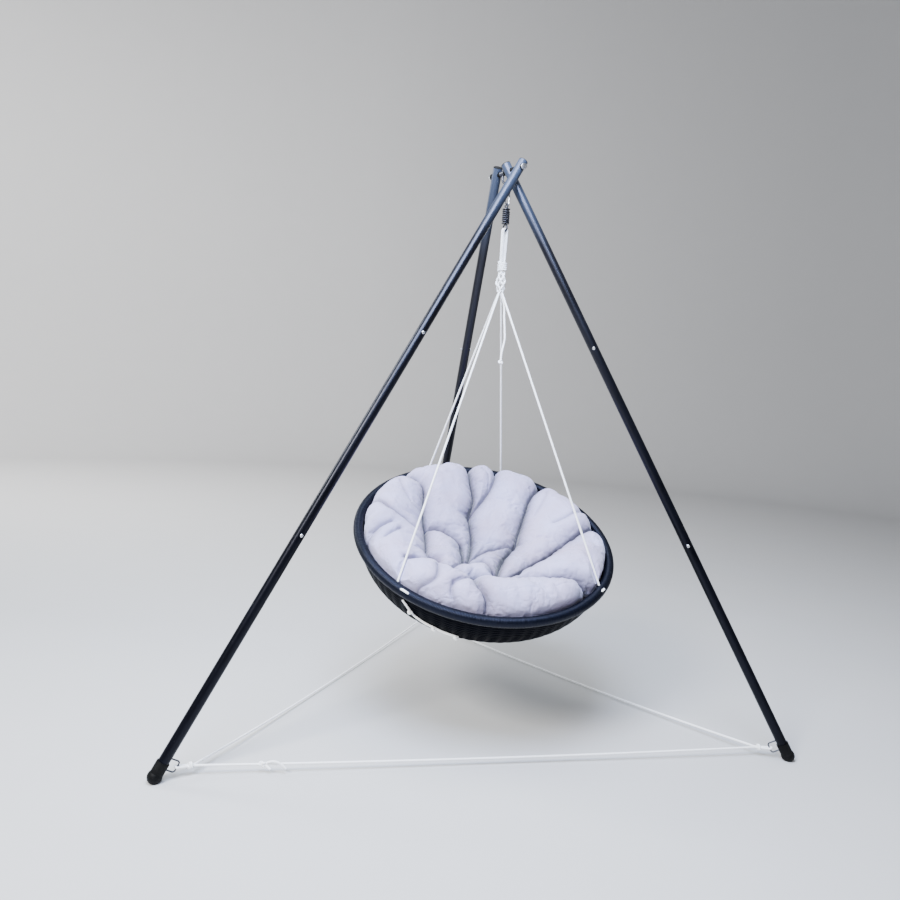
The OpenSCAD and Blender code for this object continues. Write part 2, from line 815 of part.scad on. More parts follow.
function side_arc(r, step) =
    [for (a = [side_start:step:90]) [floor_r + r * cos(a), -r * sin(a)]];

module woven_shell() {
    outer = side_arc(side_r + shell_t / 2, 6);
    inner = side_arc(side_r - shell_t / 2, 6);
    last = len(inner) - 1;
    color(wicker_color) in_bowl()
        rotate_extrude($fn = 96)
            polygon(concat(
                outer,
                [[0, -side_r - shell_t / 2], [0, -side_r + shell_t / 2]],
                [for (i = [last:-1:0]) inner[i]]
            ));
}

module rib() {
    straight = floor_r - hub_r - rib_r - gap;
    union() {
        translate([floor_r, 0, 0])
            rotate([-90, 0, 0])
                rotate([0, 0, side_start])
                    rotate_extrude(angle = 90 - side_start, $fn = 96)
                        translate([rib_side_r, 0])
                            circle(r = rib_r, $fn = 24);
        translate([floor_r - straight, 0, -rib_side_r])
            rotate([0, 90, 0]) {
                cylinder(h = straight, r = rib_r, $fn = 24);
                translate([0, 0, straight]) weld_bead(rib_r - 0.2);
            }
    }
}

module bowl_ribs() {
    color(dark_steel_color) in_bowl()
        for (i = [0:rib_count - 1])
            rotate([0, 0, 360 * (i + 0.5) / rib_count]) rib();
}

module hub_ring() {
    color(dark_steel_color) in_bowl()
        translate([0, 0, -rib_side_r]) ring_about_z(hub_r, rib_r, 96);
}

module base_ring() {
    color(wicker_color) in_bowl()
        translate([0, 0, -side_r - shell_t / 2 - base_ring_wire_r - gap])
            ring_about_z(base_ring_r, base_ring_wire_r);
}

// A rope end runs down the outside of the bowl from below the front left stitch.
// Each entry holds the angle down the bowl's side and the angle around the rim.
under_angles = [[10, -46], [14, -44], [19, -42], [24, -40], [27, -37], [29, -34], [30, -31],
    [32, -28], [33, -25], [34, -21]];
under_knot_angles = [[19, -42], [30, -31], [34, -21]];
under_knot_r = 9;

function on_side(angles, r) =
    let (out = floor_r + r * cos(angles[0]))
    [out * sin(angles[1]), -out * cos(angles[1]), -r * sin(angles[0])];

module under_rope() {
    lie_r = side_r + shell_t / 2 + rope_r + gap;
    color(rope_color) in_bowl()
        swept_tube([for (a = smooth(under_angles, 3)) on_side(a, lie_r)], rope_r, [1, 0, 0]);
}

module under_rope_knots() {
    lie_r = side_r + shell_t / 2 + under_knot_r + gap;
    color(rope_color) in_bowl()
        for (a = under_knot_angles)
            translate(on_side(a, lie_r)) sphere(r = under_knot_r, $fn = 48);
}

// The cushion follows the bowl's side, bridges its floor and stands above the rim.
cushion_r = 486;
cushion_side_r = rib_side_r - rib_r - 3;
cushion_floor = 186;
cushion_dish = 38;

function cushion_under(r) =
    r < floor_r ? -cushion_floor
    : -min(cushion_floor, sqrt(max(0, pow(cushion_side_r, 2) - pow(r - floor_r, 2))));
function cushion_over(r) =
    let (t = r / cushion_r, puff = sin(180 * pow(t, 3)))
    cushion_dish * (1 - pow(t, 6)) + (cushion_crown - cushion_dish + 16) * puff;

module cushion() {
    steps = 27;
    edge = floor_r + cushion_side_r - 10;
    radii = [for (i = [0:steps]) edge * i / steps];
    over = [for (r = radii) [r, cushion_over(r)]];
    under = [for (i = [steps:-1:0]) [radii[i], cushion_under(radii[i])]];
    color(cushion_color) in_bowl()
        rotate_extrude($fn = 96) polygon(concat(under, over));
}

lower_tube(LEFT);  // left_lower_tube
middle_tube(LEFT);  // left_middle_tube
upper_tube(LEFT);  // left_upper_tube
foot_cap(LEFT);  // left_foot_cap
top_plug(LEFT);  // left_top_plug
rope_bracket(LEFT);  // left_rope_bracket
lower_tube(RIGHT);  // right_lower_tube
middle_tube(RIGHT);  // right_middle_tube
upper_tube(RIGHT);  // right_upper_tube
foot_cap(RIGHT);  // right_foot_cap
top_plug(RIGHT);  // right_top_plug
rope_bracket(RIGHT);  // right_rope_bracket
lower_tube(REAR);  // rear_lower_tube
middle_tube(REAR);  // rear_middle_tube
upper_tube(REAR);  // rear_upper_tube
foot_cap(REAR);  // rear_foot_cap
top_plug(REAR);  // rear_top_plug
rope_bracket(REAR);  // rear_rope_bracket
leg_joint_screws();
leg_joint_nuts();
apex_bolt();
apex_cap_nut();
apex_washers();
apex_saddle_spacers();
rope_bights();
ground_rope_front();
ground_rope_left();
ground_rope_right();
ground_rope_knot();
ground_rope_long_tail();
ground_rope_short_tail();
swing_hanger();
carabiner_body();
carabiner_gate();
carabiner_pin();
spring_upper_eye();
suspension_spring();
spring_lower_socket();
swivel_hook();
rope_loops();
gathering_knot();
rope_braid();
front_left_rope();
front_right_rope();
back_left_rope();
back_right_rope();
hanging_tail();
hanging_tail_knot();
rim_tube();
rim_wrap();
rim_stitches();
bowl_ribs();
hub_ring();
base_ring();
woven_shell();
under_rope();
under_rope_knots();
cushion();
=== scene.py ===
"""Bowl-shaped hanging chair on a tripod stand: ropes, weave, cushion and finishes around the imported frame."""
import json
import math

import bpy
import numpy as np
from mathutils import Matrix, Vector


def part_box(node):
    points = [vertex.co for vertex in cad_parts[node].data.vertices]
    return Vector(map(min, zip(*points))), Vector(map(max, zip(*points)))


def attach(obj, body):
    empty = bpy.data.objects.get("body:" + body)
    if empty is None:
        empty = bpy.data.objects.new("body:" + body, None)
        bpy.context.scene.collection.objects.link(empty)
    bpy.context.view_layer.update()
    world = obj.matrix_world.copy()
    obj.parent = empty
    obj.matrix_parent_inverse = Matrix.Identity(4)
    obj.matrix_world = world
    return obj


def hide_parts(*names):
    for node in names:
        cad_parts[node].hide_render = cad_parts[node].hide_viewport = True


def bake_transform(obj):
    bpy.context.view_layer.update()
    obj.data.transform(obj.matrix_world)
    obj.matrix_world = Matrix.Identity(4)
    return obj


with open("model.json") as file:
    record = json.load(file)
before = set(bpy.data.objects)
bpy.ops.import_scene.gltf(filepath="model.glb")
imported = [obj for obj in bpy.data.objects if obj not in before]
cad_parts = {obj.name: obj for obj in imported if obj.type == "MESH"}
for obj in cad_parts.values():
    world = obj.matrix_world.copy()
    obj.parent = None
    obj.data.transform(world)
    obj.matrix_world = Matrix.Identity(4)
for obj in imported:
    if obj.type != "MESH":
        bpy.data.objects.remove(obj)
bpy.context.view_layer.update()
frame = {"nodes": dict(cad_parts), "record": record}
nodes = frame["nodes"]


def middle(node):
    low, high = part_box(node)
    return np.array([(low[i] + high[i]) / 2 for i in range(3)])


# ---- Places, in metres, from the frame ----

PIVOT_Y = float(middle("suspension_spring")[1])
BOLT_H = 2.222
PIVOT = np.array([0.0, PIVOT_Y, BOLT_H])
BOWL = middle("rim_wrap")
TILT = math.radians(25)
BOWL_AXES = np.array([[1, 0, 0], [0, math.cos(TILT), -math.sin(TILT)], [0, math.sin(TILT), math.cos(TILT)]])
RIM_R = 0.512
WRAP_R = 0.0195
FLOOR_R = 0.277
SIDE_R = 0.229
ROPE_D = 0.008
ROPE_R = ROPE_D / 2
SHELL_HALF = 0.002
GAP = 0.0003


def from_bowl(points):
    """Points of the tilted bowl's own frame, in the row frame."""
    return BOWL + np.asarray(points, float) @ BOWL_AXES.T


# ---- Camera ----

YAW, PITCH, ROLL = math.radians(11.82), math.radians(3.76), math.radians(3.99)
CAMERA_AT = (-0.770, PIVOT_Y - 2.9095, 1.2937)
FOCAL_MM, SENSOR_MM = 29.5, 36


def add_camera():
    forward = Vector((math.sin(YAW) * math.cos(PITCH), math.cos(YAW) * math.cos(PITCH), -math.sin(PITCH)))
    right = Vector((math.cos(YAW), -math.sin(YAW), 0))
    up = right.cross(forward)
    cam_x = right * math.cos(ROLL) + up * math.sin(ROLL)
    cam_y = up * math.cos(ROLL) - right * math.sin(ROLL)
    data = bpy.data.cameras.new("camera")
    data.sensor_width = SENSOR_MM
    data.lens = FOCAL_MM
    data.clip_start = 0.05
    data.clip_end = 60
    camera = bpy.data.objects.new("camera", data)
    turn = Matrix((cam_x, cam_y, -forward)).transposed().to_4x4()
    camera.matrix_world = Matrix.Translation(CAMERA_AT) @ turn
    bpy.context.scene.collection.objects.link(camera)
    bpy.context.scene.camera = camera


add_camera()


# ---- Materials ----

def material(name, color, roughness, metallic=0.0, **sockets):
    """A new material with its Principled shader's constant values set on the shader itself."""
    mat = bpy.data.materials.new(name)
    mat.use_nodes = True
    shader = mat.node_tree.nodes["Principled BSDF"]
    shader.inputs["Base Color"].default_value = (*color, 1)
    shader.inputs["Roughness"].default_value = roughness
    shader.inputs["Metallic"].default_value = metallic
    for socket, value in sockets.items():
        shader.inputs[socket.replace("_", " ")].default_value = value
    return mat


# Sockets of a Mix node that mixes colours.
MIX_FACTOR, MIX_FIRST, MIX_SECOND, MIX_RESULT = 0, 6, 7, 2


def node(mat, kind, links=(), **values):
    """Adds a node. values set its properties or inputs; links are (input name, other node, output name)."""
    new = mat.node_tree.nodes.new(kind)
    for key, value in values.items():
        if key in new.inputs:
            new.inputs[key].default_value = value
        elif hasattr(new, key):
            setattr(new, key, value)
        else:
            new.inputs[key.replace("_", " ")].default_value = value
    for name, other, output in links:
        mat.node_tree.links.new(other.outputs[output], new.inputs[name])
    return new


def shader_of(mat):
    return mat.node_tree.nodes["Principled BSDF"]


def to_shader(mat, socket, other, output):
    mat.node_tree.links.new(other.outputs[output], shader_of(mat).inputs[socket])


def coordinates(mat, scale=(1, 1, 1), source="Object"):
    coord = node(mat, "ShaderNodeTexCoord")
    mapping = node(mat, "ShaderNodeMapping", [("Vector", coord, source)])
    mapping.inputs["Scale"].default_value = scale
    return mapping


def noise(mat, place, scale, detail, **more):
    return node(mat, "ShaderNodeTexNoise", [("Vector", place, "Vector")], Scale=scale, Detail=detail, **more)


def roughness(mat, source, low, high):
    """Roughness from low to high as the noise rises."""
    rough = node(mat, "ShaderNodeMapRange", [("Value", source, "Fac")], To_Min=low, To_Max=high)
    to_shader(mat, "Roughness", rough, "Result")


def ramp(mat, source, output, low, high, low_color, high_color):
    colors = node(mat, "ShaderNodeValToRGB", [("Fac", source, output)])
    colors.color_ramp.elements[0].position = low
    colors.color_ramp.elements[0].color = (*low_color, 1)
    colors.color_ramp.elements[1].position = high
    colors.color_ramp.elements[1].color = (*high_color, 1)
    return colors


def mixed(mat, factor, first, second, blend="MIX"):
    """A Mix node for colours. The factor and both colours are each a constant or a (node, output) pair."""
    mix = node(mat, "ShaderNodeMix", data_type="RGBA", blend_type=blend)
    for socket, value in ((MIX_FACTOR, factor), (MIX_FIRST, first), (MIX_SECOND, second)):
        if isinstance(value, tuple) and isinstance(value[0], bpy.types.Node):
            mat.node_tree.links.new(value[0].outputs[value[1]], mix.inputs[socket])
        else:
            mix.inputs[socket].default_value = value
    return mix


def bump(mat, source, output, strength, distance, below=None):
    links = [("Height", source, output)]
    if below is not None:
        links.append(("Normal", below, "Normal"))
    made = node(mat, "ShaderNodeBump", links, Strength=strength, Distance=distance)
    to_shader(mat, "Normal", made, "Normal")
    return made


def powder_coat():
    """Blue-black paint, glossier towards the leg tops, where it faces the sky, and painted paler there: a
    painted sky reflection in the base colour.
    """
    mat = material("powder_coat", (0.002, 0.003, 0.007), 0.3, Specular_Tint=(0.80, 0.82, 1.0, 1.0))
    place = coordinates(mat)
    grain = noise(mat, place, 900.0, 2.0)
    patches = noise(mat, place, 7.0, 5.0, Roughness=0.6)
    tint = ramp(mat, patches, "Fac", 0.35, 0.7, (0.0008, 0.0009, 0.0018), (0.0018, 0.0021, 0.0044))
    parts = node(mat, "ShaderNodeSeparateXYZ", [("Vector", place, "Vector")])
    # Painted sky reflection: towards the leg tops the base colour is mixed towards pale blue.
    high = node(mat, "ShaderNodeMapRange", [("Value", parts, "Z")], From_Min=1.92, From_Max=2.28, To_Max=0.75)
    painted_sky_sheen = mixed(mat, (high, "Result"), (tint, "Color"), (0.045, 0.062, 0.100, 1))
    to_shader(mat, "Base Color", painted_sky_sheen, MIX_RESULT)
    gloss = node(mat, "ShaderNodeMapRange", [("Value", parts, "Z")], From_Min=0.9, From_Max=2.2, To_Min=0.15,
                 To_Max=0.55)
    to_shader(mat, "Specular IOR Level", gloss, "Result")
    roughness(mat, patches, 0.24, 0.38)
    bump(mat, grain, "Fac", 0.2, 0.0005)
    return mat


def rubber():
    mat = material("rubber", (0.002, 0.002, 0.003), 0.55, Specular_IOR_Level=0.12)
    place = coordinates(mat)
    fine = noise(mat, place, 420.0, 3.0)
    dust = noise(mat, place, 28.0, 6.0, Roughness=0.7)
    tint = ramp(mat, dust, "Fac", 0.42, 0.78, (0.0010, 0.0010, 0.0013), (0.0048, 0.0047, 0.0046))
    to_shader(mat, "Base Color", tint, "Color")
    roughness(mat, dust, 0.42, 0.75)
    bump(mat, fine, "Fac", 0.35, 0.0008)
    return mat


def zinc():
    mat = material("zinc_steel", (0.72, 0.73, 0.75), 0.28, 1.0)
    place = coordinates(mat)
    grain = noise(mat, place, 260.0, 4.0)
    spangle = node(mat, "ShaderNodeTexVoronoi", [("Vector", place, "Vector")], Scale=240.0)
    tint = ramp(mat, spangle, "Distance", 0.1, 0.9, (0.62, 0.63, 0.66), (0.82, 0.83, 0.84))
    to_shader(mat, "Base Color", tint, "Color")
    roughness(mat, grain, 0.2, 0.42)
    bump(mat, grain, "Fac", 0.12, 0.0004)
    return mat


def dark_steel():
    mat = material("dark_steel", (0.03, 0.033, 0.045), 0.36, 0.6, Coat_Weight=0.2)
    place = coordinates(mat)
    wear = noise(mat, place, 130.0, 6.0, Roughness=0.7)
    tint = ramp(mat, wear, "Fac", 0.5, 0.85, (0.022, 0.024, 0.036), (0.16, 0.165, 0.19))
    to_shader(mat, "Base Color", tint, "Color")
    roughness(mat, wear, 0.28, 0.5)
    bump(mat, wear, "Fac", 0.15, 0.0004)
    return mat


def wicker(name, painted_light_level, gloss):
    """Extruded plastic strand: blue-black, with a soft sheen and lengthwise ridges. Its brightness factor
    scales the base colour as painted light: the rim winding is painted lighter than the weave, a painted sky
    reflection.
    """
    mat = material(name, (0.002, 0.003, 0.006), 0.42, Specular_IOR_Level=gloss,
                   Specular_Tint=(0.62, 0.68, 1.0, 1.0))
    place = coordinates(mat)
    streaks = noise(mat, place, 95.0, 6.0, Roughness=0.65)
    # Painted light: the base colour is scaled by the brightness factor.
    tint = ramp(mat, streaks, "Fac", 0.3, 0.75, (0.0010 * painted_light_level, 0.0014 * painted_light_level, 0.0032 * painted_light_level),
                (0.0026 * painted_light_level, 0.0038 * painted_light_level, 0.0095 * painted_light_level))
    to_shader(mat, "Base Color", tint, "Color")
    roughness(mat, streaks, 0.3, 0.5)
    fine = noise(mat, place, 1400.0, 2.0)
    bump(mat, fine, "Fac", 0.2, 0.0005)
    return mat


def rope_material():
    mat = material("rope", (0.93, 0.93, 0.92), 0.7, Sheen_Weight=0.3)
    lay = coordinates(mat, (8, 1, 1), "UV")
    fibres = noise(mat, lay, 14.0, 6.0, Roughness=0.7)
    place = coordinates(mat)
    soil = noise(mat, place, 22.0, 5.0)
    tint = ramp(mat, soil, "Fac", 0.3, 0.62, (0.95, 0.95, 0.94), (1.0, 1.0, 1.0))
    to_shader(mat, "Base Color", tint, "Color")
    bump(mat, fibres, "Fac", 0.35, 0.0008)
    return mat


def cloth():
    """Lilac-grey woven outdoor cloth, with painted shade: darker where the mesh's crease-shade attribute says
    it is creased, folded or deep in the dish.
    """
    mat = material("cushion_cloth", (0.52, 0.51, 0.58), 0.82, Sheen_Weight=0.3, Sheen_Roughness=0.5)
    place = coordinates(mat)
    shade = noise(mat, place, 6.0, 6.0, Roughness=0.6)
    tint = ramp(mat, shade, "Fac", 0.3, 0.7, (0.415, 0.352, 0.500), (0.450, 0.440, 0.680))
    warp, weft = (node(mat, "ShaderNodeTexWave", [("Vector", place, "Vector")], Scale=210.0, Distortion=0.6,
                       bands_direction=direction) for direction in "XY")
    weave = node(mat, "ShaderNodeMath", [(0, warp, "Fac"), (1, weft, "Fac")], operation="MULTIPLY")
    fuzz = noise(mat, place, 700.0, 3.0)
    thread = node(mat, "ShaderNodeMath", [(0, weave, "Value"), (1, fuzz, "Fac")], operation="ADD")
    threads = ramp(mat, thread, "Value", 0.2, 1.2, (0.6, 0.6, 0.62), (1, 1, 1))
    flecks = mixed(mat, 0.18, (tint, "Color"), (threads, "Color"), blend="MULTIPLY")
    # Painted shade: the mesh's crease attribute mixes the cloth towards dark lilac along its creases and folds
    # and in the deep middle of the dish.
    folds = node(mat, "ShaderNodeAttribute", attribute_name="painted_crease_shade")
    painted_shade_amount = node(mat, "ShaderNodeMapRange", [("Value", folds, "Fac")], From_Min=0.03, From_Max=0.80,
                To_Max=0.95)
    painted_shade_mix = mixed(mat, (painted_shade_amount, "Result"), (flecks, MIX_RESULT), (0.026, 0.021, 0.040, 1))
    to_shader(mat, "Base Color", painted_shade_mix, MIX_RESULT)
    creasing = noise(mat, place, 15.0, 4.0, Roughness=0.5, Distortion=2.0)
    soft = bump(mat, creasing, "Fac", 0.6, 0.012)
    bump(mat, thread, "Value", 0.16, 0.0008, below=soft)
    return mat


MATERIALS = {
    "frame_paint": powder_coat(),
    "rubber": rubber(),
    "bright_steel": zinc(),
    "dark_steel": dark_steel(),
    # Painted light: the rim winding's base colour is lifted more than the weave's, as a painted sky reflection
    # on the same plastic.
    "wicker": wicker("wicker_winding", 0.8, 0.19),
    "wicker_weave": wicker("wicker_weave", 0.25, 0.03),
    "rope": rope_material(),
    "cushion_cloth": cloth(),
}
for part in frame["record"]["subparts"]:
    mesh = nodes[part["node"]].data
    mesh.materials.clear()
    mesh.materials.append(MATERIALS[part["material_slot"]])


# ---- Mesh helpers ----

def add_mesh(name, points, faces, mat, body):
    mesh = bpy.data.meshes.new(name)
    mesh.from_pydata([tuple(p) for p in points], [], [tuple(f) for f in faces])
    mesh.validate()
    mesh.shade_smooth()
    mesh.materials.append(MATERIALS[mat])
    piece = bpy.data.objects.new(name, mesh)
    bpy.context.scene.collection.objects.link(piece)
    if body:
        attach(piece, body)
    return piece


def band(rings, around, first=0, turned=False):
    """Quads between closed rings of around points each, which start at point number first."""
    faces = []
    for i in range(rings - 1):
        here, ahead = first + i * around, first + (i + 1) * around
        for k in range(around):
            n = (k + 1) % around
            if turned:
                faces.append((here + k, ahead + k, ahead + n, here + n))
            else:
                faces.append((here + k, here + n, ahead + n, ahead + k))
    return faces


def lengths_along(path):
    """How far along the path each of its points is."""
    return np.concatenate([[0], np.cumsum(np.linalg.norm(np.diff(path, axis=0), axis=1))])


def unit(v):
    return v / max(np.linalg.norm(v), 1e-12)


def smooth_route(points, step):
    """Points step apart on a smooth curve through the given ones."""
    p = np.asarray(points, float)
    padded = np.vstack([2 * p[0] - p[1], p, 2 * p[-1] - p[-2]])
    out = []
    for i in range(len(p) - 1):
        a, b, c, d = padded[i:i + 4]
        count = max(1, int(round(np.linalg.norm(c - b) / step)))
        for k in range(count):
            t = k / count
            out.append(0.5 * (2 * b + (c - a) * t + (2 * a - 5 * b + 4 * c - d) * t * t
                              + (3 * b - a - 3 * c + d) * t ** 3))
    out.append(p[-1])
    out = np.array(out)
    gone = lengths_along(out)
    even = np.linspace(0, gone[-1], max(3, int(round(gone[-1] / step)) + 1))
    return np.column_stack([np.interp(even, gone, out[:, i]) for i in range(3)])


def frames_along(path):
    """Tangents and two normals that turn as little as possible along a path."""
    tangents = np.gradient(path, axis=0)
    tangents /= np.linalg.norm(tangents, axis=1)[:, None]
    start = np.array([0, 0, 1.0]) if abs(tangents[0][2]) < 0.8 else np.array([0, 1.0, 0])
    side = unit(np.cross(tangents[0], start))
    sides = [side]
    for t in tangents[1:]:
        side = unit(side - t * np.dot(side, t))
        sides.append(side)
    sides = np.array(sides)
    return tangents, sides, np.cross(tangents, sides)


ROPE_SIDES = 16
UV_LENGTH = 0.02
ROPE_MEAN, ROPE_BUMP = 0.985, 0.075


def rope_solid(path, r=ROPE_R, plaits=4, lay=0.021):
    """Points and faces of a plaited rope: the bumps are crossed helices around its centreline."""
    tangents, sides, ups = frames_along(path)
    turn = 2 * math.pi * np.arange(ROPE_SIDES) / ROPE_SIDES
    along, around = np.meshgrid(lengths_along(path) * 2 * math.pi / lay, turn, indexing="ij")
    plait = np.sin(plaits * around + plaits * along / 2) * np.sin(plaits * around - plaits * along / 2)
    radius = r * (ROPE_MEAN + ROPE_BUMP * plait)
    points = (path[:, None, :] + radius[..., None] * (np.cos(around)[..., None] * sides[:, None, :]
                                                      + np.sin(around)[..., None] * ups[:, None, :]))
    rings = len(path)
    faces = band(rings, ROPE_SIDES)
    points = points.reshape(-1, 3)
    first, last = len(points), len(points) + 1
    points = np.vstack([points, path[0] - tangents[0] * r * 0.5, path[-1] + tangents[-1] * r * 0.5])
    for k in range(ROPE_SIDES):
        n = (k + 1) % ROPE_SIDES
        faces.append((first, n, k))
        faces.append((last, (rings - 1) * ROPE_SIDES + k, (rings - 1) * ROPE_SIDES + n))
    return points, faces


def rope(name, route, body, r=ROPE_R, step=0.0021, joined=()):
    """One rope along a route, and any further routes joined into the same piece. Returns it and its path."""
    points, faces = [], []
    for each in [route, *joined]:
        path = smooth_route(each, step)
        more, more_faces = rope_solid(path, r)
        offset = sum(len(p) for p in points)
        points.append(more)
        faces += [tuple(i + offset for i in f) for f in more_faces]
    piece = add_mesh(name, np.vstack(points), faces, "rope", body)
    uv = piece.data.uv_layers.new(name="along")
    index = np.zeros(len(piece.data.loops), dtype=np.int64)
    piece.data.loops.foreach_get("vertex_index", index)
    ring = index // ROPE_SIDES
    place = np.column_stack([(index % ROPE_SIDES) / ROPE_SIDES, ring * step / UV_LENGTH])
    uv.data.foreach_set("uv", place.ravel())
    return piece, smooth_route(route, step)


# ---- Ropes of the stand ----

def rotated(v, lean, azimuth):
    """A vector of an upright leg's frame, once the leg leans towards its azimuth."""
    x = v[0] * math.cos(lean) + v[2] * math.sin(lean)
    z = v[2] * math.cos(lean) - v[0] * math.sin(lean)
    return np.array([x * math.cos(azimuth) - v[1] * math.sin(azimuth),
                     x * math.sin(azimuth) + v[1] * math.cos(azimuth), z])


BOLT_TURN = math.radians(22)
BOLT_DIR = np.array([-math.sin(BOLT_TURN), math.cos(BOLT_TURN), 0])
FOOT_H = 0.020
# Each leg's foot, from the pivot, and where along the bolt it crosses it.
LEGS = {}
for side, foot, station in (("left", (-1.158, -0.472), -0.065), ("right", (1.158, -0.472), 0.0),
                            ("rear", (0.0, 1.327), 0.082)):
    at = np.array([foot[0], PIVOT_Y + foot[1], FOOT_H])
    axis = PIVOT + station * BOLT_DIR - at
    LEGS[side] = {"at": at, "azimuth": math.atan2(axis[1], axis[0]),
                  "lean": math.acos(axis[2] / np.linalg.norm(axis))}
BRACKET_REACH, BRACKET_MID, BRACKET_WIRE_R = 0.050, 0.049, 0.0026
BIGHT_BEND_R = BRACKET_WIRE_R + ROPE_R + GAP
BIGHT_LEN, BIGHT_DROP = 0.046, 0.003
STRAND_SIDE = ROPE_R + 0.0001


def leg_point(side, v):
    leg = LEGS[side]
    return leg["at"] + rotated(v, leg["lean"], leg["azimuth"])


def bracket_turn(side, degrees):
    a = math.radians(degrees)
    out = BRACKET_REACH - BIGHT_BEND_R * math.cos(a)
    return leg_point(side, (out, BIGHT_BEND_R * math.sin(a), BRACKET_MID))


def inward(side):
    a = LEGS[side]["azimuth"]
    return np.array([math.cos(a), math.sin(a), 0])


def sideways(side):
    a = LEGS[side]["azimuth"]
    return np.array([-math.sin(a), math.cos(a), 0])


def bight_point(side, hand, t):
    """A place on one strand of a foot's bight, from the bracket (0) to past the seizing (1)."""
    far = (leg_point(side, (BRACKET_REACH, 0, BRACKET_MID)) + BIGHT_LEN * inward(side)
           + hand * STRAND_SIDE * sideways(side) - np.array([0, 0, BIGHT_DROP]))
    return bracket_turn(side, hand * 90) * (1 - t) + far * t


def bight(side):
    halves = [[bracket_turn(side, hand * a) for a in (22.5, 45, 67.5, 90)]
              + [bight_point(side, hand, t) for t in (0.25, 0.5, 0.75, 1)] for hand in (-1, 1)]
    return halves[0][::-1] + [bracket_turn(side, 0)] + halves[1]


def stretch(side_a, hand_a, side_b, hand_b, drop):
    """The rope from one foot's bight to the next, which sags by drop in the middle."""
    ends = [bight_point(side_a, hand_a, 1), bight_point(side_a, hand_a, 1.2),
            bight_point(side_b, hand_b, 1.2), bight_point(side_b, hand_b, 1)]
    a = ends[1] + (ends[2] - ends[1]) * 0.006
    b = ends[2] + (ends[1] - ends[2]) * 0.006
    sag = [a * (1 - t) + b * t - np.array([0, 0, 4 * drop * t * (1 - t)])
           for t in (0.01, 0.05, 0.1, 0.22, 0.36, 0.5, 0.64, 0.78, 0.88, 0.95, 0.99)]
    return ends[:2] + sag + ends[2:]


SEIZING_Z = bight_point("left", 1, 1)[2]
FRONT_LOWEST, SIDE_LOWEST = 0.026, ROPE_R + 0.008
FRONT_DROP, SIDE_DROP = SEIZING_Z - FRONT_LOWEST, SEIZING_Z - SIDE_LOWEST
ground_routes = {
    "ground_rope_front": stretch("left", -1, "right", 1, FRONT_DROP),
    "ground_rope_left": stretch("rear", -1, "left", 1, SIDE_DROP),
    "ground_rope_right": stretch("right", -1, "rear", 1, SIDE_DROP),
}
KNOT_AT = ground_routes["ground_rope_front"][4]
# The tails' routes from the knot, in millimetres.
LONG_TAIL = [(11, 0, 2), (22, -4, 8), (36, -8, 12), (52, -11, 9), (66, -13, 0), (78, -14, -12)]
SHORT_TAIL = [(10, 0, -3), (18, -5, -8), (28, -10, -14)]
KNOT_ROPE_R, FINE_STEP = ROPE_R * 0.95, 0.0016


def overhand(center, along, size, turns=60):
    """The route of an overhand knot: a trefoil pulled out along its rope."""
    along = unit(np.asarray(along, float))
    side = unit(np.cross(along, (0, 0, 1)) if abs(along[2]) < 0.9 else np.cross(along, (1, 0, 0)))
    up = np.cross(side, along)
    out = []
    for i in range(turns + 1):
        t = -math.pi * 0.98 + 2 * math.pi * 0.98 * i / turns
        x = math.sin(t) + 2 * math.sin(2 * t)
        y = math.cos(t) - 2 * math.cos(2 * t)
        z = -math.sin(3 * t)
        out.append(center + size * (0.55 * x * along + 0.42 * y * up) + ROPE_R * 1.15 * z * side)
    return out


def wound_coil(center, axis, radius, turns, pitch, count=20):
    """The route of a rope wound round an axis, touching turn to turn."""
    axis = unit(np.asarray(axis, float))
    side = unit(np.cross(axis, (0.3, 0.2, 1.0)))
    up = np.cross(axis, side)
    total = int(turns * count)
    return [center + axis * pitch * (i / count - turns / 2)
            + radius * (math.cos(2 * math.pi * i / count) * side + math.sin(2 * math.pi * i / count) * up)
            for i in range(total + 1)]


def add_stand_ropes():
    bights = [bight(side) for side in LEGS]
    seizings = []
    for side in LEGS:
        at = (bight_point(side, 1, 0.9) + bight_point(side, -1, 0.9)) / 2
        seizings.append(wound_coil(at, inward(side), 0.0095, 2.1, 0.0052))
    piece, _ = rope("rope_bights_piece", bights[0], "stand", joined=bights[1:])
    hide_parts("rope_bights")
    rope("bight_seizings", seizings[0], "stand", r=0.0030, step=FINE_STEP, joined=seizings[1:])
    knot_route = overhand(KNOT_AT, (1, 0, 0), 0.0062)
    knot, _ = rope("ground_knot", knot_route, "stand", r=KNOT_ROPE_R, step=FINE_STEP)
    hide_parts("ground_rope_knot")
    short_route = [KNOT_AT + np.array(p) / 1000 for p in [(2, 0, 0), *SHORT_TAIL]]
    short, _ = rope("ground_short_tail", short_route, "stand")
    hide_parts("ground_rope_short_tail")
    long_route = [KNOT_AT + np.array(p) / 1000 for p in LONG_TAIL]
    tail, path = rope("ground_long_tail", long_route, "stand")
    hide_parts("ground_rope_long_tail")
    for name, route in ground_routes.items():
        piece, path = rope(name + "_cord", route, "stand")
        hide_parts(name)


# ---- Ropes that carry the bowl ----

BRAID_Z, KNOT_TOP_Z, KNOT_H = 1.750, 1.865, 0.036
HOOK_Z = float(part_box("swivel_hook")[0][2]) + 0.0032 + 0.0128
LOOP_TOP_Z, LOOP_BEND_R, LOOP_LOW_X, LOOP_SIDE = HOOK_Z - 0.0033, 0.009, 0.007, ROPE_R + 0.00015
FRONT_ANGLE, BACK_ANGLE = 50, 160


def in_swing(x, y, z):
    """x across and y along the bolt, from the swing's axis."""
    c, s = math.cos(BOLT_TURN), math.sin(BOLT_TURN)
    return np.array([x * c - y * s, PIVOT_Y + x * s + y * c, z])


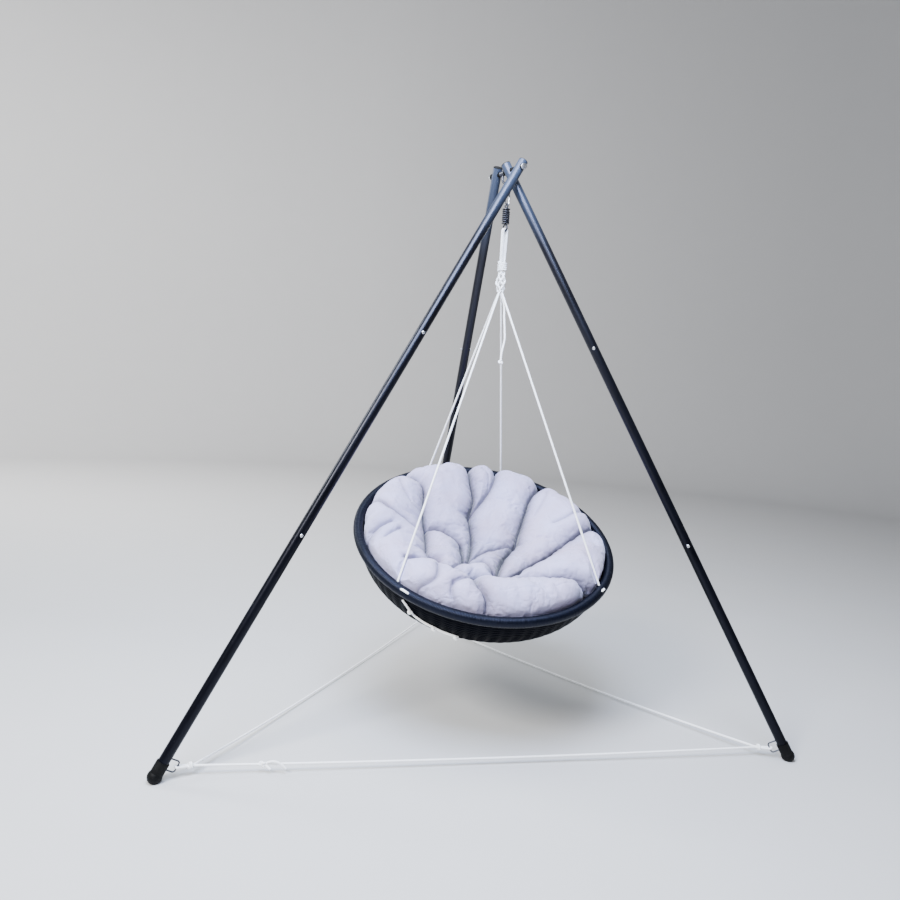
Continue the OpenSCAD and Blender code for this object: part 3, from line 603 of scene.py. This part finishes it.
def rim_point(degrees):
    a = math.radians(degrees)
    return from_bowl((RIM_R * math.sin(a), -RIM_R * math.cos(a), 0))


def suspension_route(angle, x, y):
    start = np.array([x, PIVOT_Y + y, BRAID_Z])
    below = start - np.array([0, 0, 0.008])
    target = rim_point(angle)
    end = target + (WRAP_R - 0.002) * unit(below - target)
    return [start, *(below * (1 - t) + end * t for t in (0, 0.03, 0.1, 0.3, 0.5, 0.7, 0.9, 1))]


def on_rim(along, around, rise):
    """A place on the rim's covering, around degrees from its top towards the outside."""
    a, b = math.radians(along), math.radians(around)
    out = RIM_R + (WRAP_R + rise) * math.sin(b)
    return from_bowl((out * math.sin(a), -out * math.cos(a), (WRAP_R + rise) * math.cos(b)))


PLAIT_STRANDS, LOOSE_STRAND, PLAIT_STEPS, PLAIT_TURNS = 8, 1, 24, 0.62


def plait_routes():
    """Doubled ropes plaited round each other, from the gathering knot down to where they part."""
    top, low = KNOT_TOP_Z - KNOT_H + 0.004, BRAID_Z - 0.004
    routes = []
    for k in range(PLAIT_STRANDS):
        route = []
        hand = 1 if k % 2 else -1
        for i in range(PLAIT_STEPS + 1):
            t = i / PLAIT_STEPS
            a = 2 * math.pi * (k / PLAIT_STRANDS + hand * PLAIT_TURNS * t)
            swell = 0.0085 + 0.0060 * math.sin(math.pi * t ** 1.4) + hand * 0.0016 * math.cos(6 * math.pi * t)
            if k == LOOSE_STRAND:
                swell += 0.005 * math.sin(math.pi * t) ** 2
            z = top + (low - top) * t
            route.append(np.array([swell * math.cos(a), PIVOT_Y + swell * math.sin(a), z]))
        routes.append(route)
    return routes


def loop_route(hand):
    half = [(LOOP_BEND_R * math.sin(a), LOOP_TOP_Z - LOOP_BEND_R + LOOP_BEND_R * math.cos(a))
            for a in np.linspace(0, math.pi / 2, 7)]
    low = LOOP_TOP_Z - LOOP_BEND_R
    half += [(LOOP_BEND_R + (LOOP_LOW_X - LOOP_BEND_R) * t, low + (KNOT_TOP_Z - low) * t)
             for t in (0.25, 0.5, 0.75, 1)]
    route = [in_swing(-x, hand * LOOP_SIDE, z) for x, z in half[:0:-1]]
    return route + [in_swing(x, hand * LOOP_SIDE, z) for x, z in half]


# The free tail, from the pivot's line, in millimetres.
TAIL = [(0, 0, 1750), (1, 0, 1740), (6, 1, 1730), (13, 1, 1718), (19, 0, 1700), (22, -2, 1675), (23, -3, 1650),
        (28, -5, 1600), (31, -6, 1560), (27, -6, 1530), (22, -6, 1500), (21, -6, 1476)]
# Stitches on the rim: where each starts and its span. The rope end under the bowl: the angle down the
# bowl's side and the angle around the rim. All in degrees.
STITCHES = [(-46.5, 3.7), (47.5, 1.9), (-157.5, 1.9), (157.5, 1.9)]
UNDER = [(10, -46), (14, -44), (19, -42), (24, -40), (27, -37), (29, -34), (30, -31), (32, -28), (33, -25),
         (34, -21)]
UNDER_KNOTS = [(19, -42), (30, -31), (34, -21)]


def on_side(down, along, r):
    """A place outside the bowl's rounded side, r from the middle of its curve."""
    a, b = math.radians(down), math.radians(along)
    out = FLOOR_R + r * math.cos(a)
    return from_bowl((out * math.sin(b), -out * math.cos(b), -r * math.sin(a)))


# Each suspension rope's angle around the rim, and where it leaves the braid.
SUSPENSION = [(-FRONT_ANGLE, -0.006, -0.006), (FRONT_ANGLE, 0.006, -0.006), (-BACK_ANGLE, -0.006, 0.006),
              (BACK_ANGLE, 0.006, 0.006)]


def add_bowl_ropes():
    loops, _ = rope("hook_loops", loop_route(-1), "bowl", joined=[loop_route(1)])
    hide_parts("rope_loops")
    braid_routes = plait_routes()
    braid, _ = rope("plaited_ropes", braid_routes[0], "bowl", joined=braid_routes[1:])
    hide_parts("rope_braid")
    knot_middle = np.array([0, PIVOT_Y, KNOT_TOP_Z - KNOT_H / 2])
    wraps = wound_coil(knot_middle, (0, 0, 1), 0.0150, 4.2, 0.0080)
    inner = wound_coil(knot_middle, (0, 0, 1), 0.0075, 4.2, 0.0080)
    knot, _ = rope("gathering_wraps", wraps, "bowl", joined=[inner])
    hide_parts("gathering_knot")
    names = ("front_left_rope", "front_right_rope", "back_left_rope", "back_right_rope")
    for name, (angle, x, y) in zip(names, SUSPENSION):
        piece, path = rope(name + "_cord", suspension_route(angle, x, y), "bowl")
        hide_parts(name)
    tail_route = [np.array([p[0], p[1], p[2]]) / 1000 + np.array([0, PIVOT_Y, 0]) for p in TAIL]
    end = tail_route[-1]
    end_knot, _ = rope("tail_end_knot", overhand(end - np.array([0, 0, 0.009]), (0.15, 0, -1), 0.0052),
                       "bowl", r=KNOT_ROPE_R, step=FINE_STEP)
    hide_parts("hanging_tail_knot")
    tail, path = rope("hanging_tail_cord", tail_route, "bowl")
    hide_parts("hanging_tail")
    routes = []
    for start, span in STITCHES:
        routes.append([on_rim(start + span * (t + 1) / 2, 35, 0.004 - 0.007 * abs(t) ** 3)
                       for t in np.linspace(-1, 1, 9)])
    stitches, _ = rope("rim_stitch_ropes", routes[0], "bowl", joined=routes[1:])
    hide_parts("rim_stitches")
    lie_r = SIDE_R + SHELL_HALF + ROPE_R + GAP
    under_route = [on_side(down, along, lie_r) for down, along in UNDER]
    knot_routes = []
    for down, along in UNDER_KNOTS:
        here, ahead = on_side(down, along, lie_r + 0.004), on_side(down + 4, along + 1.4, lie_r + 0.004)
        knot_routes.append(overhand(here, ahead - here, 0.0045))
    under_knots, _ = rope("under_rope_overhands", knot_routes[0], "bowl", r=KNOT_ROPE_R, step=FINE_STEP,
                          joined=knot_routes[1:])
    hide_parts("under_rope_knots")
    under, path = rope("under_rope_cord", under_route, "bowl")
    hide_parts("under_rope")


add_stand_ropes()
add_bowl_ropes()


# ---- Spring ----

SPRING_TURNS, SPRING_COIL_R, SPRING_WIRE_R = 6, 0.0127, 0.0031


def add_spring():
    per_turn, sides = 40, 14
    low, top = (float(corner[2]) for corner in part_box("suspension_spring"))
    low, top = low + SPRING_WIRE_R, top - SPRING_WIRE_R
    steps = SPRING_TURNS * per_turn
    path = []
    for i in range(steps + 1):
        a = 2 * math.pi * i / per_turn
        z = top + (low - top) * i / steps
        path.append(in_swing(SPRING_COIL_R * math.cos(a), SPRING_COIL_R * math.sin(a), z))
    path = np.array(path)
    _, normals, ups = frames_along(path)
    turn = 2 * math.pi * np.arange(sides)[:, None] / sides
    points = np.vstack([p + SPRING_WIRE_R * (np.cos(turn) * normal + np.sin(turn) * up)
                        for p, normal, up in zip(path, normals, ups)])
    faces = band(len(path), sides)
    faces.append(tuple(range(sides))[::-1])
    faces.append(tuple(range((len(path) - 1) * sides, len(path) * sides)))
    spring = add_mesh("coil_spring", points, faces, "dark_steel", None)
    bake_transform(spring)
    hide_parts("suspension_spring")


add_spring()


# ---- Rim covering ----

RIM_STRANDS, STRAND_RISE, STRAND_UNEVEN = 600, 0.0014, 0.00018


def add_rim_wrap():
    """A strand wound round the rim, turn against turn, each a half round."""
    per_strand, around = 6, 30
    along = RIM_STRANDS * per_strand
    a = 2 * math.pi * np.arange(along)[:, None] / along
    b = 2 * math.pi * np.arange(around)[None, :] / around
    phase = RIM_STRANDS * a + 2 * b
    ridge = np.sqrt(np.clip(1 - (((phase / (2 * math.pi)) % 1) * 2 - 1) ** 2, 0, 1))
    rng = np.random.default_rng(7)
    uneven = np.repeat(rng.normal(0, STRAND_UNEVEN, RIM_STRANDS), per_strand)[:, None]
    r = WRAP_R - STRAND_RISE + STRAND_RISE * ridge + uneven
    out = RIM_R + r * np.cos(b)
    local = np.stack([out * np.sin(a), -out * np.cos(a), r * np.sin(b)], axis=-1).reshape(-1, 3)
    count = along * around
    faces = [tuple(p % count for p in quad) for quad in band(along + 1, around, turned=True)]
    piece = add_mesh("rim_strand_winding", from_bowl(local), faces, "wicker", "bowl")
    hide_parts("rim_wrap")


add_rim_wrap()


# ---- Woven shell ----

SPOKES = 72
WEAVE_PITCH, WEAVE_PER_STRAND, WEAVE_THICK = 0.0062, 4, 0.0030
WEAVE_OVER, WEAVE_ROUND = 0.0011, 0.0009
SHELL_TOP, SHELL_MIDDLE_R = math.radians(6), 0.03


def shell_profile(steps_side, steps_floor):
    """Distance out and height of the shell's outside, from below the rim down to the middle of its floor."""
    r = SIDE_R + 0.0005
    side = [(FLOOR_R + r * math.cos(a), -r * math.sin(a))
            for a in np.linspace(SHELL_TOP, math.pi / 2, steps_side)]
    floor = [(x, -r) for x in np.linspace(FLOOR_R, SHELL_MIDDLE_R, steps_floor + 1)[1:]]
    return np.array(side + floor)


def add_shell():
    """Strands run round the bowl, over one spoke and under the next, and each next strand the other way."""
    side_length = SIDE_R * math.radians(84)
    length = side_length + FLOOR_R - SHELL_MIDDLE_R
    rows = int(length / WEAVE_PITCH * WEAVE_PER_STRAND)
    rows_side = int(rows * side_length / length)
    profile = shell_profile(rows_side, rows - rows_side)
    rows = len(profile)
    around = SPOKES * 6
    angle = 2 * math.pi * np.arange(around) / around
    tangent = np.gradient(profile, axis=0)
    tangent /= np.linalg.norm(tangent, axis=1)[:, None]
    normal = np.column_stack([-tangent[:, 1], tangent[:, 0]])
    strand = lengths_along(profile) / WEAVE_PITCH
    number = np.floor(strand)
    bulge = np.sqrt(np.clip(1 - (2 * (strand - number) - 1) ** 2, 0, 1))
    side_wave = np.cos(SPOKES / 2 * angle[None, :] + math.pi * number[:, None])
    rise = WEAVE_OVER * side_wave + WEAVE_ROUND * (bulge[:, None] - 0.6)

    def surface(offset):
        out = profile[:, 0][:, None] + normal[:, 0][:, None] * offset
        height = profile[:, 1][:, None] + normal[:, 1][:, None] * offset
        return np.stack([out * np.sin(angle), -out * np.cos(angle), height], axis=-1).reshape(-1, 3)

    points = np.vstack([surface(rise), surface(rise - WEAVE_THICK)])
    shift = rows * around
    faces = band(rows, around, turned=True) + band(rows, around, first=shift)
    last = (rows - 1) * around
    for k in range(around):
        n = (k + 1) % around
        faces.append((k, n, shift + n, shift + k))
        faces.append((last + n, last + k, shift + last + k, shift + last + n))
    shell = add_mesh("woven_bowl", from_bowl(points), faces, "wicker_weave", "bowl")
    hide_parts("woven_shell")


add_shell()


# ---- Cushion, in the bowl's own frame and in millimetres until it is placed ----

EDGE_R = 487.0


def edge_point(degrees):
    a = math.radians(degrees)
    return EDGE_R * math.sin(a), -EDGE_R * math.cos(a)


# Tufts are where the cloth is pulled down: x, y and how far.
TUFTS = [(-110, -160, 26), (0, -250, 34), (140, 0, 16), (-240, 50, 15), (-30, 180, 12), (-100, -280, 16),
         (-220, -190, 14)]
# Deep creases part one pillow from the next, and folds are shallower: depth, reach and route of each.
CREASES = [
    (1.0, 80, [(-30, 180), (0, 260), (0, 360), edge_point(180)]),
    (0.8, 70, [(-30, 180), (-40, 30), (-80, -110), (-110, -160)]),
    (0.7, 60, [(-30, 180), (20, 230), (100, 340), edge_point(164)]),
    (1.0, 85, [edge_point(135), (250, 240), (220, 180), (160, 50), (140, 0), (60, -110), (0, -250)]),
    (0.9, 80, [(-240, 50), (-240, 120), (-230, 200), (-230, 290), edge_point(-139)]),
    (0.85, 60, [(-240, 50), (-160, 40), (-100, 0), (-100, -60), (-110, -160)]),
    (0.85, 60, [(-240, 50), (-250, -60), (-260, -170), (-220, -190)]),
    (1.0, 85, [(0, -250), (50, -260), (140, -190), (230, -130), (320, -70), edge_point(93)]),
    (0.8, 50, [(-110, -160), (-60, -160), (-20, -160), (0, -250)]),
    (0.6, 60, [(-110, -160), (0, -50), (140, 0)]),
    (1.0, 70, [(-110, -350), (-100, -280), (0, -300), (120, -300), (180, -310), (280, -340), edge_point(42)]),
    (0.8, 45, [(-110, -350), (-110, -390), (-90, -450), (-90, -480)]),
    (0.8, 60, [(-260, -200), (-210, -230), (-170, -250), (-130, -300), (-110, -350)]),
    (0.6, 40, [(-110, -160), (-170, -230)]),
]
FOLDS = [
    (0.42, 34, [(-240, -270), (-260, -360), (-320, -370)]),
    (0.40, 30, [(-200, -380), (-130, -350)]),
    (0.40, 30, [(-200, -380), (-210, -410), (-200, -440)]),
    (0.55, 42, [(-480, 190), (-430, 130), (-380, 60), (-310, 10), (-260, -20)]),
    (0.38, 28, [(-460, -60), (-390, -30)]),
    (0.38, 28, [(-420, -120), (-360, -70)]),
    (0.45, 30, [(-360, -240), (-290, -240), (-260, -220)]),
    (0.30, 24, [(-480, -90), (-450, -70)]),
    (0.35, 28, [(280, -350), (290, -380), (270, -410)]),
    (0.30, 30, [(430, 100), (370, 60), (300, 40)]),
    (0.25, 26, [(60, 420), (80, 360), (70, 300)]),
    (0.22, 26, [(330, 250), (290, 180), (240, 120)]),
    (0.25, 26, [(-330, 290), (-320, 220), (-290, 160)]),
]
SEAM = [(-40, -440), (80, -420), (180, -400), (280, -370)]


def curve_mm(points, step=8.0):
    flat = smooth_route([(x, y, 0) for x, y in points], step)
    return flat[:, :2]


def nearest(points, route):
    """Distance from each point to a route, and how far along the route its nearest place is."""
    a, b = route[:-1], route[1:]
    ab = b - a
    squared = (ab ** 2).sum(1)
    gone = lengths_along(route)
    best = np.full(len(points), 1e9)
    along = np.zeros(len(points))
    for i in range(len(a)):
        t = np.clip(((points - a[i]) @ ab[i]) / squared[i], 0, 1)
        d = np.hypot(points[:, 0] - a[i][0] - t * ab[i][0], points[:, 1] - a[i][1] - t * ab[i][1])
        closer = d < best
        best[closer] = d[closer]
        along[closer] = gone[i] + t[closer] * (gone[i + 1] - gone[i])
    return best, along


def waves(points, size, seed, count=14):
    """Smooth random height over the plane, from -1 to 1, with bumps about size across."""
    rng = np.random.default_rng(seed)
    total = np.zeros(len(points))
    for _ in range(count):
        a, phase = rng.uniform(0, 2 * math.pi, 2)
        k = 2 * math.pi / (size * rng.uniform(0.7, 1.5))
        total += np.sin(k * (points[:, 0] * math.cos(a) + points[:, 1] * math.sin(a)) + phase)
    return total / math.sqrt(count * 2)


def rounded(t):
    t = np.clip(t, 0, 1)
    return np.sqrt(1 - (1 - t) ** 2)


CREASE_ROUTES = [(depth, reach, curve_mm(route)) for depth, reach, route in CREASES]
FOLD_ROUTES = [(depth, reach, curve_mm(route)) for depth, reach, route in FOLDS]


# Where the edge draws in, in degrees around the rim, and how far.
EDGE_NOTCHES = [(180, 18), (164, 13), (150, 9), (135, 24), (120, 8), (93, 12), (42, 12), (-11, 8), (-139, 14),
                (-112, 9), (-96, 6), (-80, 6), (66, 5), (-30, 5)]
NOTCH_WIDTH = 0.075
SLUMP_AT, SLUMP_DEPTH = math.radians(138), 16


def edge_radius(theta):
    """The cushion's edge draws in where a crease reaches it, and where it has slumped at the back right."""
    r = np.full(len(theta), EDGE_R)
    for degrees, depth in EDGE_NOTCHES:
        off = np.abs((theta - math.radians(degrees) + math.pi) % (2 * math.pi) - math.pi)
        r -= depth * np.exp(-(off / NOTCH_WIDTH) ** 2)
    slump = np.clip(np.cos(theta - SLUMP_AT), 0, 1) ** 4
    return r - SLUMP_DEPTH * slump


DISH_LOW, DISH_RISE, DISH_FULL = -88, 116, 0.8
PILLOW_H, TUFT_SPREAD = 56, 20.0
EDGE_LOW, EDGE_ROUND = -10.0, 52


def cushion_top(points):
    """Height of the stuffed top over the rim's plane."""
    r = np.hypot(points[:, 0], points[:, 1])
    theta = np.arctan2(points[:, 0], -points[:, 1])
    edge = edge_radius(theta)
    u = r / edge
    dish = DISH_LOW + DISH_RISE * np.clip(u / DISH_FULL, 0, 1) ** 1.5
    pillow = np.ones(len(points))
    pleat = np.zeros(len(points))
    for i, (depth, reach, route) in enumerate(CREASE_ROUTES):
        d, along = nearest(points, route)
        pillow = np.minimum(pillow, 1 - depth * (1 - rounded(d / reach)))
        ripple = np.sin(along / 6.5 + 3.1 * np.sin(along / 31.0 + 2 * i) + i)
        ripple *= np.clip(np.sin(along / 47.0 + i), 0, 1)
        pleat += 1.8 * depth * ripple * np.exp(-d / 20.0) * np.clip(d / 9.0, 0, 1)
    for i, (depth, reach, route) in enumerate(FOLD_ROUTES):
        d, along = nearest(points, route)
        pillow *= 1 - depth * (1 - rounded(d / reach))
        pleat += 0.7 * np.sin(along / 8.0 + i) * np.exp(-d / 16.0) * np.clip(d / 8.0, 0, 1)
    lumps = 1.7 * waves(points, 48, 4) + 0.8 * waves(points, 22, 5)
    high = dish + PILLOW_H * pillow - 4 + 2.4 * waves(points, 130, 3) + lumps * pillow
    roll = np.exp(-((points[:, 1] + 400) / 60) ** 2) * np.clip((points[:, 0] + 130) / 60, 0, 1)
    high += 6 * roll * np.clip((330 - points[:, 0]) / 60, 0, 1)
    for x, y, depth in TUFTS:
        high -= depth * np.exp(-((points[:, 0] - x) ** 2 + (points[:, 1] - y) ** 2) / (2 * TUFT_SPREAD ** 2))
    inside = edge - r
    return EDGE_LOW + (high - EDGE_LOW) * rounded(inside / EDGE_ROUND) + pleat * np.clip(inside / 30, 0, 1)


def rope_lines():
    """The four suspension ropes near the cushion, as lines in the bowl's frame, in millimetres."""
    lines = []
    for angle, x, y in SUSPENSION:
        route = np.array([(np.asarray(p) - BOWL) @ BOWL_AXES * 1000 for p in suspension_route(angle, x, y)])
        lines.append((route[-1], route[2]))
    return lines


def under_ropes(co):
    """Heights of the cushion's points once the ropes have pressed their grooves into it."""
    high = co[:, 2] * 1000
    flat = co[:, :2] * 1000
    for low_end, top_end in rope_lines():
        run = top_end[:2] - low_end[:2]
        t = np.clip(((flat - low_end[:2]) @ run) / (run @ run), 0, 1)
        d = np.hypot(*(flat - low_end[:2] - t[:, None] * run).T)
        rope_z = low_end[2] + t * (top_end[2] - low_end[2])
        limit = rope_z - 8 + 1.1 * np.maximum(0, d - 7) + (d / 22) ** 2
        high = np.where(limit - high < 0, np.maximum(limit, EDGE_LOW), high)
    return np.where(co[:, 2] > -0.008, high, co[:, 2] * 1000) / 1000


UNDER_LOWEST, UNDER_SIDE_R = -183, 212.0


def cushion_start():
    """The closed shape the cloth starts from: the tufted top, and an underside that follows the bowl."""
    around, rings, under_rings = 360, 110, 60
    theta = 2 * math.pi * np.arange(around) / around - math.pi
    edge = edge_radius(theta)
    points = []
    for i in range(1, rings + 1):
        t = i / rings
        u = math.sin(t * math.pi / 2) ** 0.9
        xy = np.column_stack([edge * u * np.sin(theta), -edge * u * np.cos(theta)])
        points.append(np.column_stack([xy, cushion_top(xy)]))
    for i in range(1, under_rings):
        t = i / under_rings
        u = 1 - t
        r = edge * u
        side = np.clip(1 - ((np.maximum(r, FLOOR_R * 1000) - FLOOR_R * 1000) / UNDER_SIDE_R) ** 2, 0, 1)
        low = np.maximum(UNDER_LOWEST, -UNDER_SIDE_R * np.sqrt(side))
        low = np.minimum(low, -10 - 40 * min(1, t * 12))
        points.append(np.column_stack([r * np.sin(theta), -r * np.cos(theta), low]))
    count = len(points)
    points = np.vstack(points)
    faces = band(count, around)
    top_middle = len(points)
    points = np.vstack([points, (0, 0, cushion_top(np.array([[0.0, 0.01]]))[0]), (0, 0, UNDER_LOWEST)])
    points[:, 2] = under_ropes(points / 1000) * 1000
    for k in range(around):
        n = (k + 1) % around
        faces.append((top_middle, n, k))
        faces.append((top_middle + 1, (count - 1) * around + k, (count - 1) * around + n))
    return points / 1000, faces


def applied(piece):
    """The piece's mesh as its modifiers make it, with the modifiers gone."""
    bpy.context.view_layer.update()
    depsgraph = bpy.context.evaluated_depsgraph_get()
    mesh = bpy.data.meshes.new_from_object(piece.evaluated_get(depsgraph))
    piece.modifiers.clear()
    piece.data = mesh
    return mesh


def coordinates_of(mesh):
    co = np.empty(len(mesh.vertices) * 3)
    mesh.vertices.foreach_get("co", co)
    return co.reshape(-1, 3)


SIM_FRAMES, MOST_MOVED, WIDEST_R = 20, 0.012, 0.4882


def stuffed(piece):
    """Blows the cloth up a little between its creases, as stuffing does."""
    mesh = piece.data
    start = coordinates_of(mesh)
    flat = start[:, :2] * 1000
    crease = np.full(len(flat), 1e9)
    for _, _, route in CREASE_ROUTES:
        crease = np.minimum(crease, nearest(flat, route)[0])
    r = np.hypot(flat[:, 0], flat[:, 1])
    under = start[:, 2] < -0.030 - 0.10 * (r < 400)
    held = under | (crease < 6)
    pins = piece.vertex_groups.new(name="held")
    pins.add([int(i) for i in np.nonzero(held)[0]], 1.0, "REPLACE")
    cloth_mod = piece.modifiers.new("stuffing", "CLOTH")
    settings = cloth_mod.settings
    settings.quality = 3
    settings.mass = 0.2
    settings.tension_stiffness = 14
    settings.compression_stiffness = 12
    settings.shear_stiffness = 6
    settings.bending_stiffness = 0.4
    settings.use_pressure = True
    settings.uniform_pressure_force = 4
    settings.shrink_min = -0.06
    settings.vertex_group_mass = "held"
    settings.effector_weights.gravity = 0
    cloth_mod.collision_settings.use_collision = False
    cloth_mod.point_cache.frame_start = 1
    cloth_mod.point_cache.frame_end = SIM_FRAMES
    for f in range(1, SIM_FRAMES + 1):
        bpy.context.scene.frame_set(f)
    mesh = applied(piece)
    bpy.context.scene.frame_set(1)
    moved = coordinates_of(mesh) - start
    far = np.linalg.norm(moved, axis=1)
    scale = np.where(far > 1e-9, MOST_MOVED * np.tanh(far / MOST_MOVED) / np.maximum(far, 1e-9), 0)
    now = start + moved * scale[:, None]
    reach = np.hypot(now[:, 0], now[:, 1])
    now[:, :2] *= np.minimum(1, WIDEST_R / np.maximum(reach, 1e-6))[:, None]
    now[:, 2] = under_ropes(now)
    mesh.vertices.foreach_set("co", now.ravel())
    print("cushion moved", round(float(far.max()) * 1000, 1), "mm at most")


DEEPEST = 17.0


def creased(piece):
    """Sharpens the stuffed cloth's creases, folds and seam, and writes its crease-shade attribute: painted
    shade, darkest along the creases, folds and seam and darker the deeper the cloth lies.
    """
    mesh = piece.data
    co = coordinates_of(mesh)
    flat = co[:, :2] * 1000
    top = co[:, 2] > -0.035 - 0.10 * (np.hypot(flat[:, 0], flat[:, 1]) < 380)
    sink = np.zeros(len(co))
    # Painted shade beside each crease and fold, fading with distance from it.
    shade = np.zeros(len(co))
    for depth, _, route in CREASE_ROUTES:
        d, _ = nearest(flat, route)
        sink += DEEPEST * depth * np.exp(-(d / 5.0) ** 2)
        shade = np.maximum(shade, 0.85 * depth * np.exp(-d / 20.0))
    for depth, _, route in FOLD_ROUTES:
        d, _ = nearest(flat, route)
        sink += 13.0 * depth * np.exp(-(d / 4.2) ** 2)
        shade = np.maximum(shade, 1.20 * depth * np.exp(-d / 11.0))
    d, along = nearest(flat, curve_mm(SEAM))
    piping = np.exp(-((d - 6.5) / 3.0) ** 2) * (0.6 + 0.4 * np.sin(along / 2.2))
    sink += 1.6 * np.exp(-(d / 3.0) ** 2) - 1.0 * piping
    co[:, 2] -= np.where(top, np.clip(sink, -2, DEEPEST) / 1000, 0)
    mesh.vertices.foreach_set("co", co.ravel())
    mesh.update()
    # Painted shade for the cloth's colour: the crease value, and a darkening the deeper the cloth lies in the
    # dish.
    painted_crease_shade = mesh.attributes.new("painted_crease_shade", "FLOAT", "POINT")
    painted_depth_shade = 0.32 * np.clip((20 - co[:, 2] * 1000) / 110, 0, 1)
    dark = np.clip(np.maximum(sink / DEEPEST, shade + painted_depth_shade), 0, 1)
    painted_crease_shade.data.foreach_set("value", np.where(top, dark, 0).astype(np.float32))


VOXEL, QUICK_VOXEL = 0.006, 0.0085


def add_cushion():
    points, faces = cushion_start()
    cushion = add_mesh("tufted_cushion", points, faces, "cushion_cloth", None)
    remesh = cushion.modifiers.new("even", "REMESH")
    remesh.mode = "VOXEL"
    remesh.voxel_size = VOXEL
    remesh.use_smooth_shade = True
    applied(cushion)
    stuffed(cushion)
    finer = cushion.modifiers.new("finer", "SUBSURF")
    finer.levels = finer.render_levels = 1
    applied(cushion)
    creased(cushion)
    mesh = cushion.data
    mesh.materials.clear()
    mesh.materials.append(MATERIALS["cushion_cloth"])
    placed = from_bowl(coordinates_of(mesh))
    mesh.vertices.foreach_set("co", placed.ravel())
    mesh.update()
    mesh.shade_smooth()
    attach(cushion, "bowl")
    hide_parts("cushion")


add_cushion()


# ---- Floor, backdrop and lights ----

def studio_surface(name, color):
    """Matt grey, with painted shade that darkens its base colour towards the right of the wall."""
    mat = material(name, color, 0.9)
    shader_of(mat).inputs["Specular IOR Level"].default_value = 0.15
    place = coordinates(mat)
    speckle = noise(mat, place, 3.0, 4.0)
    tint = ramp(mat, speckle, "Fac", 0.3, 0.7, tuple(0.985 * c for c in color), color)
    # Painted shade: the base colour is mixed towards half its brightness towards the right.
    parts = node(mat, "ShaderNodeSeparateXYZ", [("Vector", place, "Vector")])
    across = node(mat, "ShaderNodeMapRange", [("Value", parts, "X")], From_Min=0.5, From_Max=9.0, To_Max=0.55)
    painted_shade_right = mixed(mat, (across, "Result"), (tint, "Color"), (*(0.5 * c for c in color), 1))
    to_shader(mat, "Base Color", painted_shade_right, MIX_RESULT)
    return mat


def add_floor():
    """A level floor that curves up into a wall all round, so that no corner shows from any side."""
    floor_r, bend_r, wall_h, around = 10.0, 3.0, 10.0, 96
    section = [(0.5, 0.0), (3.0, 0.0), (floor_r, 0.0)]
    section += [(floor_r + bend_r * math.sin(a), bend_r - bend_r * math.cos(a))
                for a in np.linspace(0.1, math.pi / 2, 16)]
    section.append((floor_r + bend_r, wall_h))
    turns = [2 * math.pi * k / around for k in range(around)]
    points = [(r * math.cos(a), r * math.sin(a), z) for r, z in section for a in turns]
    faces = band(len(section), around)
    faces.append(tuple(range(around))[::-1])
    mesh = bpy.data.meshes.new("studio_floor")
    mesh.from_pydata(points, [], faces)
    mesh.shade_smooth()
    mesh.materials.append(studio_surface("studio_floor", (0.565, 0.56, 0.555)))
    floor = bpy.data.objects.new("studio_floor", mesh)
    bpy.context.scene.collection.objects.link(floor)


def add_light(name, at, aim, size, watts, color):
    data = bpy.data.lights.new(name, "AREA")
    data.shape = "RECTANGLE"
    data.size, data.size_y = size
    data.energy = watts
    data.color = color
    light = bpy.data.objects.new(name, data)
    light.location = at
    light.visible_camera = False
    light.rotation_euler = (Vector(aim) - Vector(at)).to_track_quat("-Z", "Y").to_euler()
    bpy.context.scene.collection.objects.link(light)


def add_lights():
    world = bpy.data.worlds.new("studio")
    bpy.context.scene.world = world
    world.use_nodes = True
    background = world.node_tree.nodes["Background"]
    background.inputs["Color"].default_value = (0.80, 0.84, 0.92, 1)
    background.inputs["Strength"].default_value = 0.60
    add_light("overhead", (-0.3, -0.7, 4.8), (0, PIVOT_Y, 0.4), (2.4, 2.4), 160, (0.92, 0.96, 1.0))
    add_light("front_left", (-3.4, -3.4, 3.8), (0, PIVOT_Y, 0.8), (1.3, 1.3), 450, (1.0, 0.985, 0.96))
    add_light("apex_sky", (-0.7, -1.9, 3.3), (0, PIVOT_Y, 2.2), (1.5, 1.5), 300, (0.60, 0.72, 1.0))
    add_light("back_left", (-3.8, 1.6, 3.6), (0, PIVOT_Y, 1.5), (0.8, 2.4), 150, (0.85, 0.93, 1.0))
    add_light("wall_wash", (-5.0, 3.0, 5.5), (-3.0, 12.5, 3.0), (4.0, 4.0), 1250, (1.0, 1.0, 1.0))


add_floor()
add_lights()
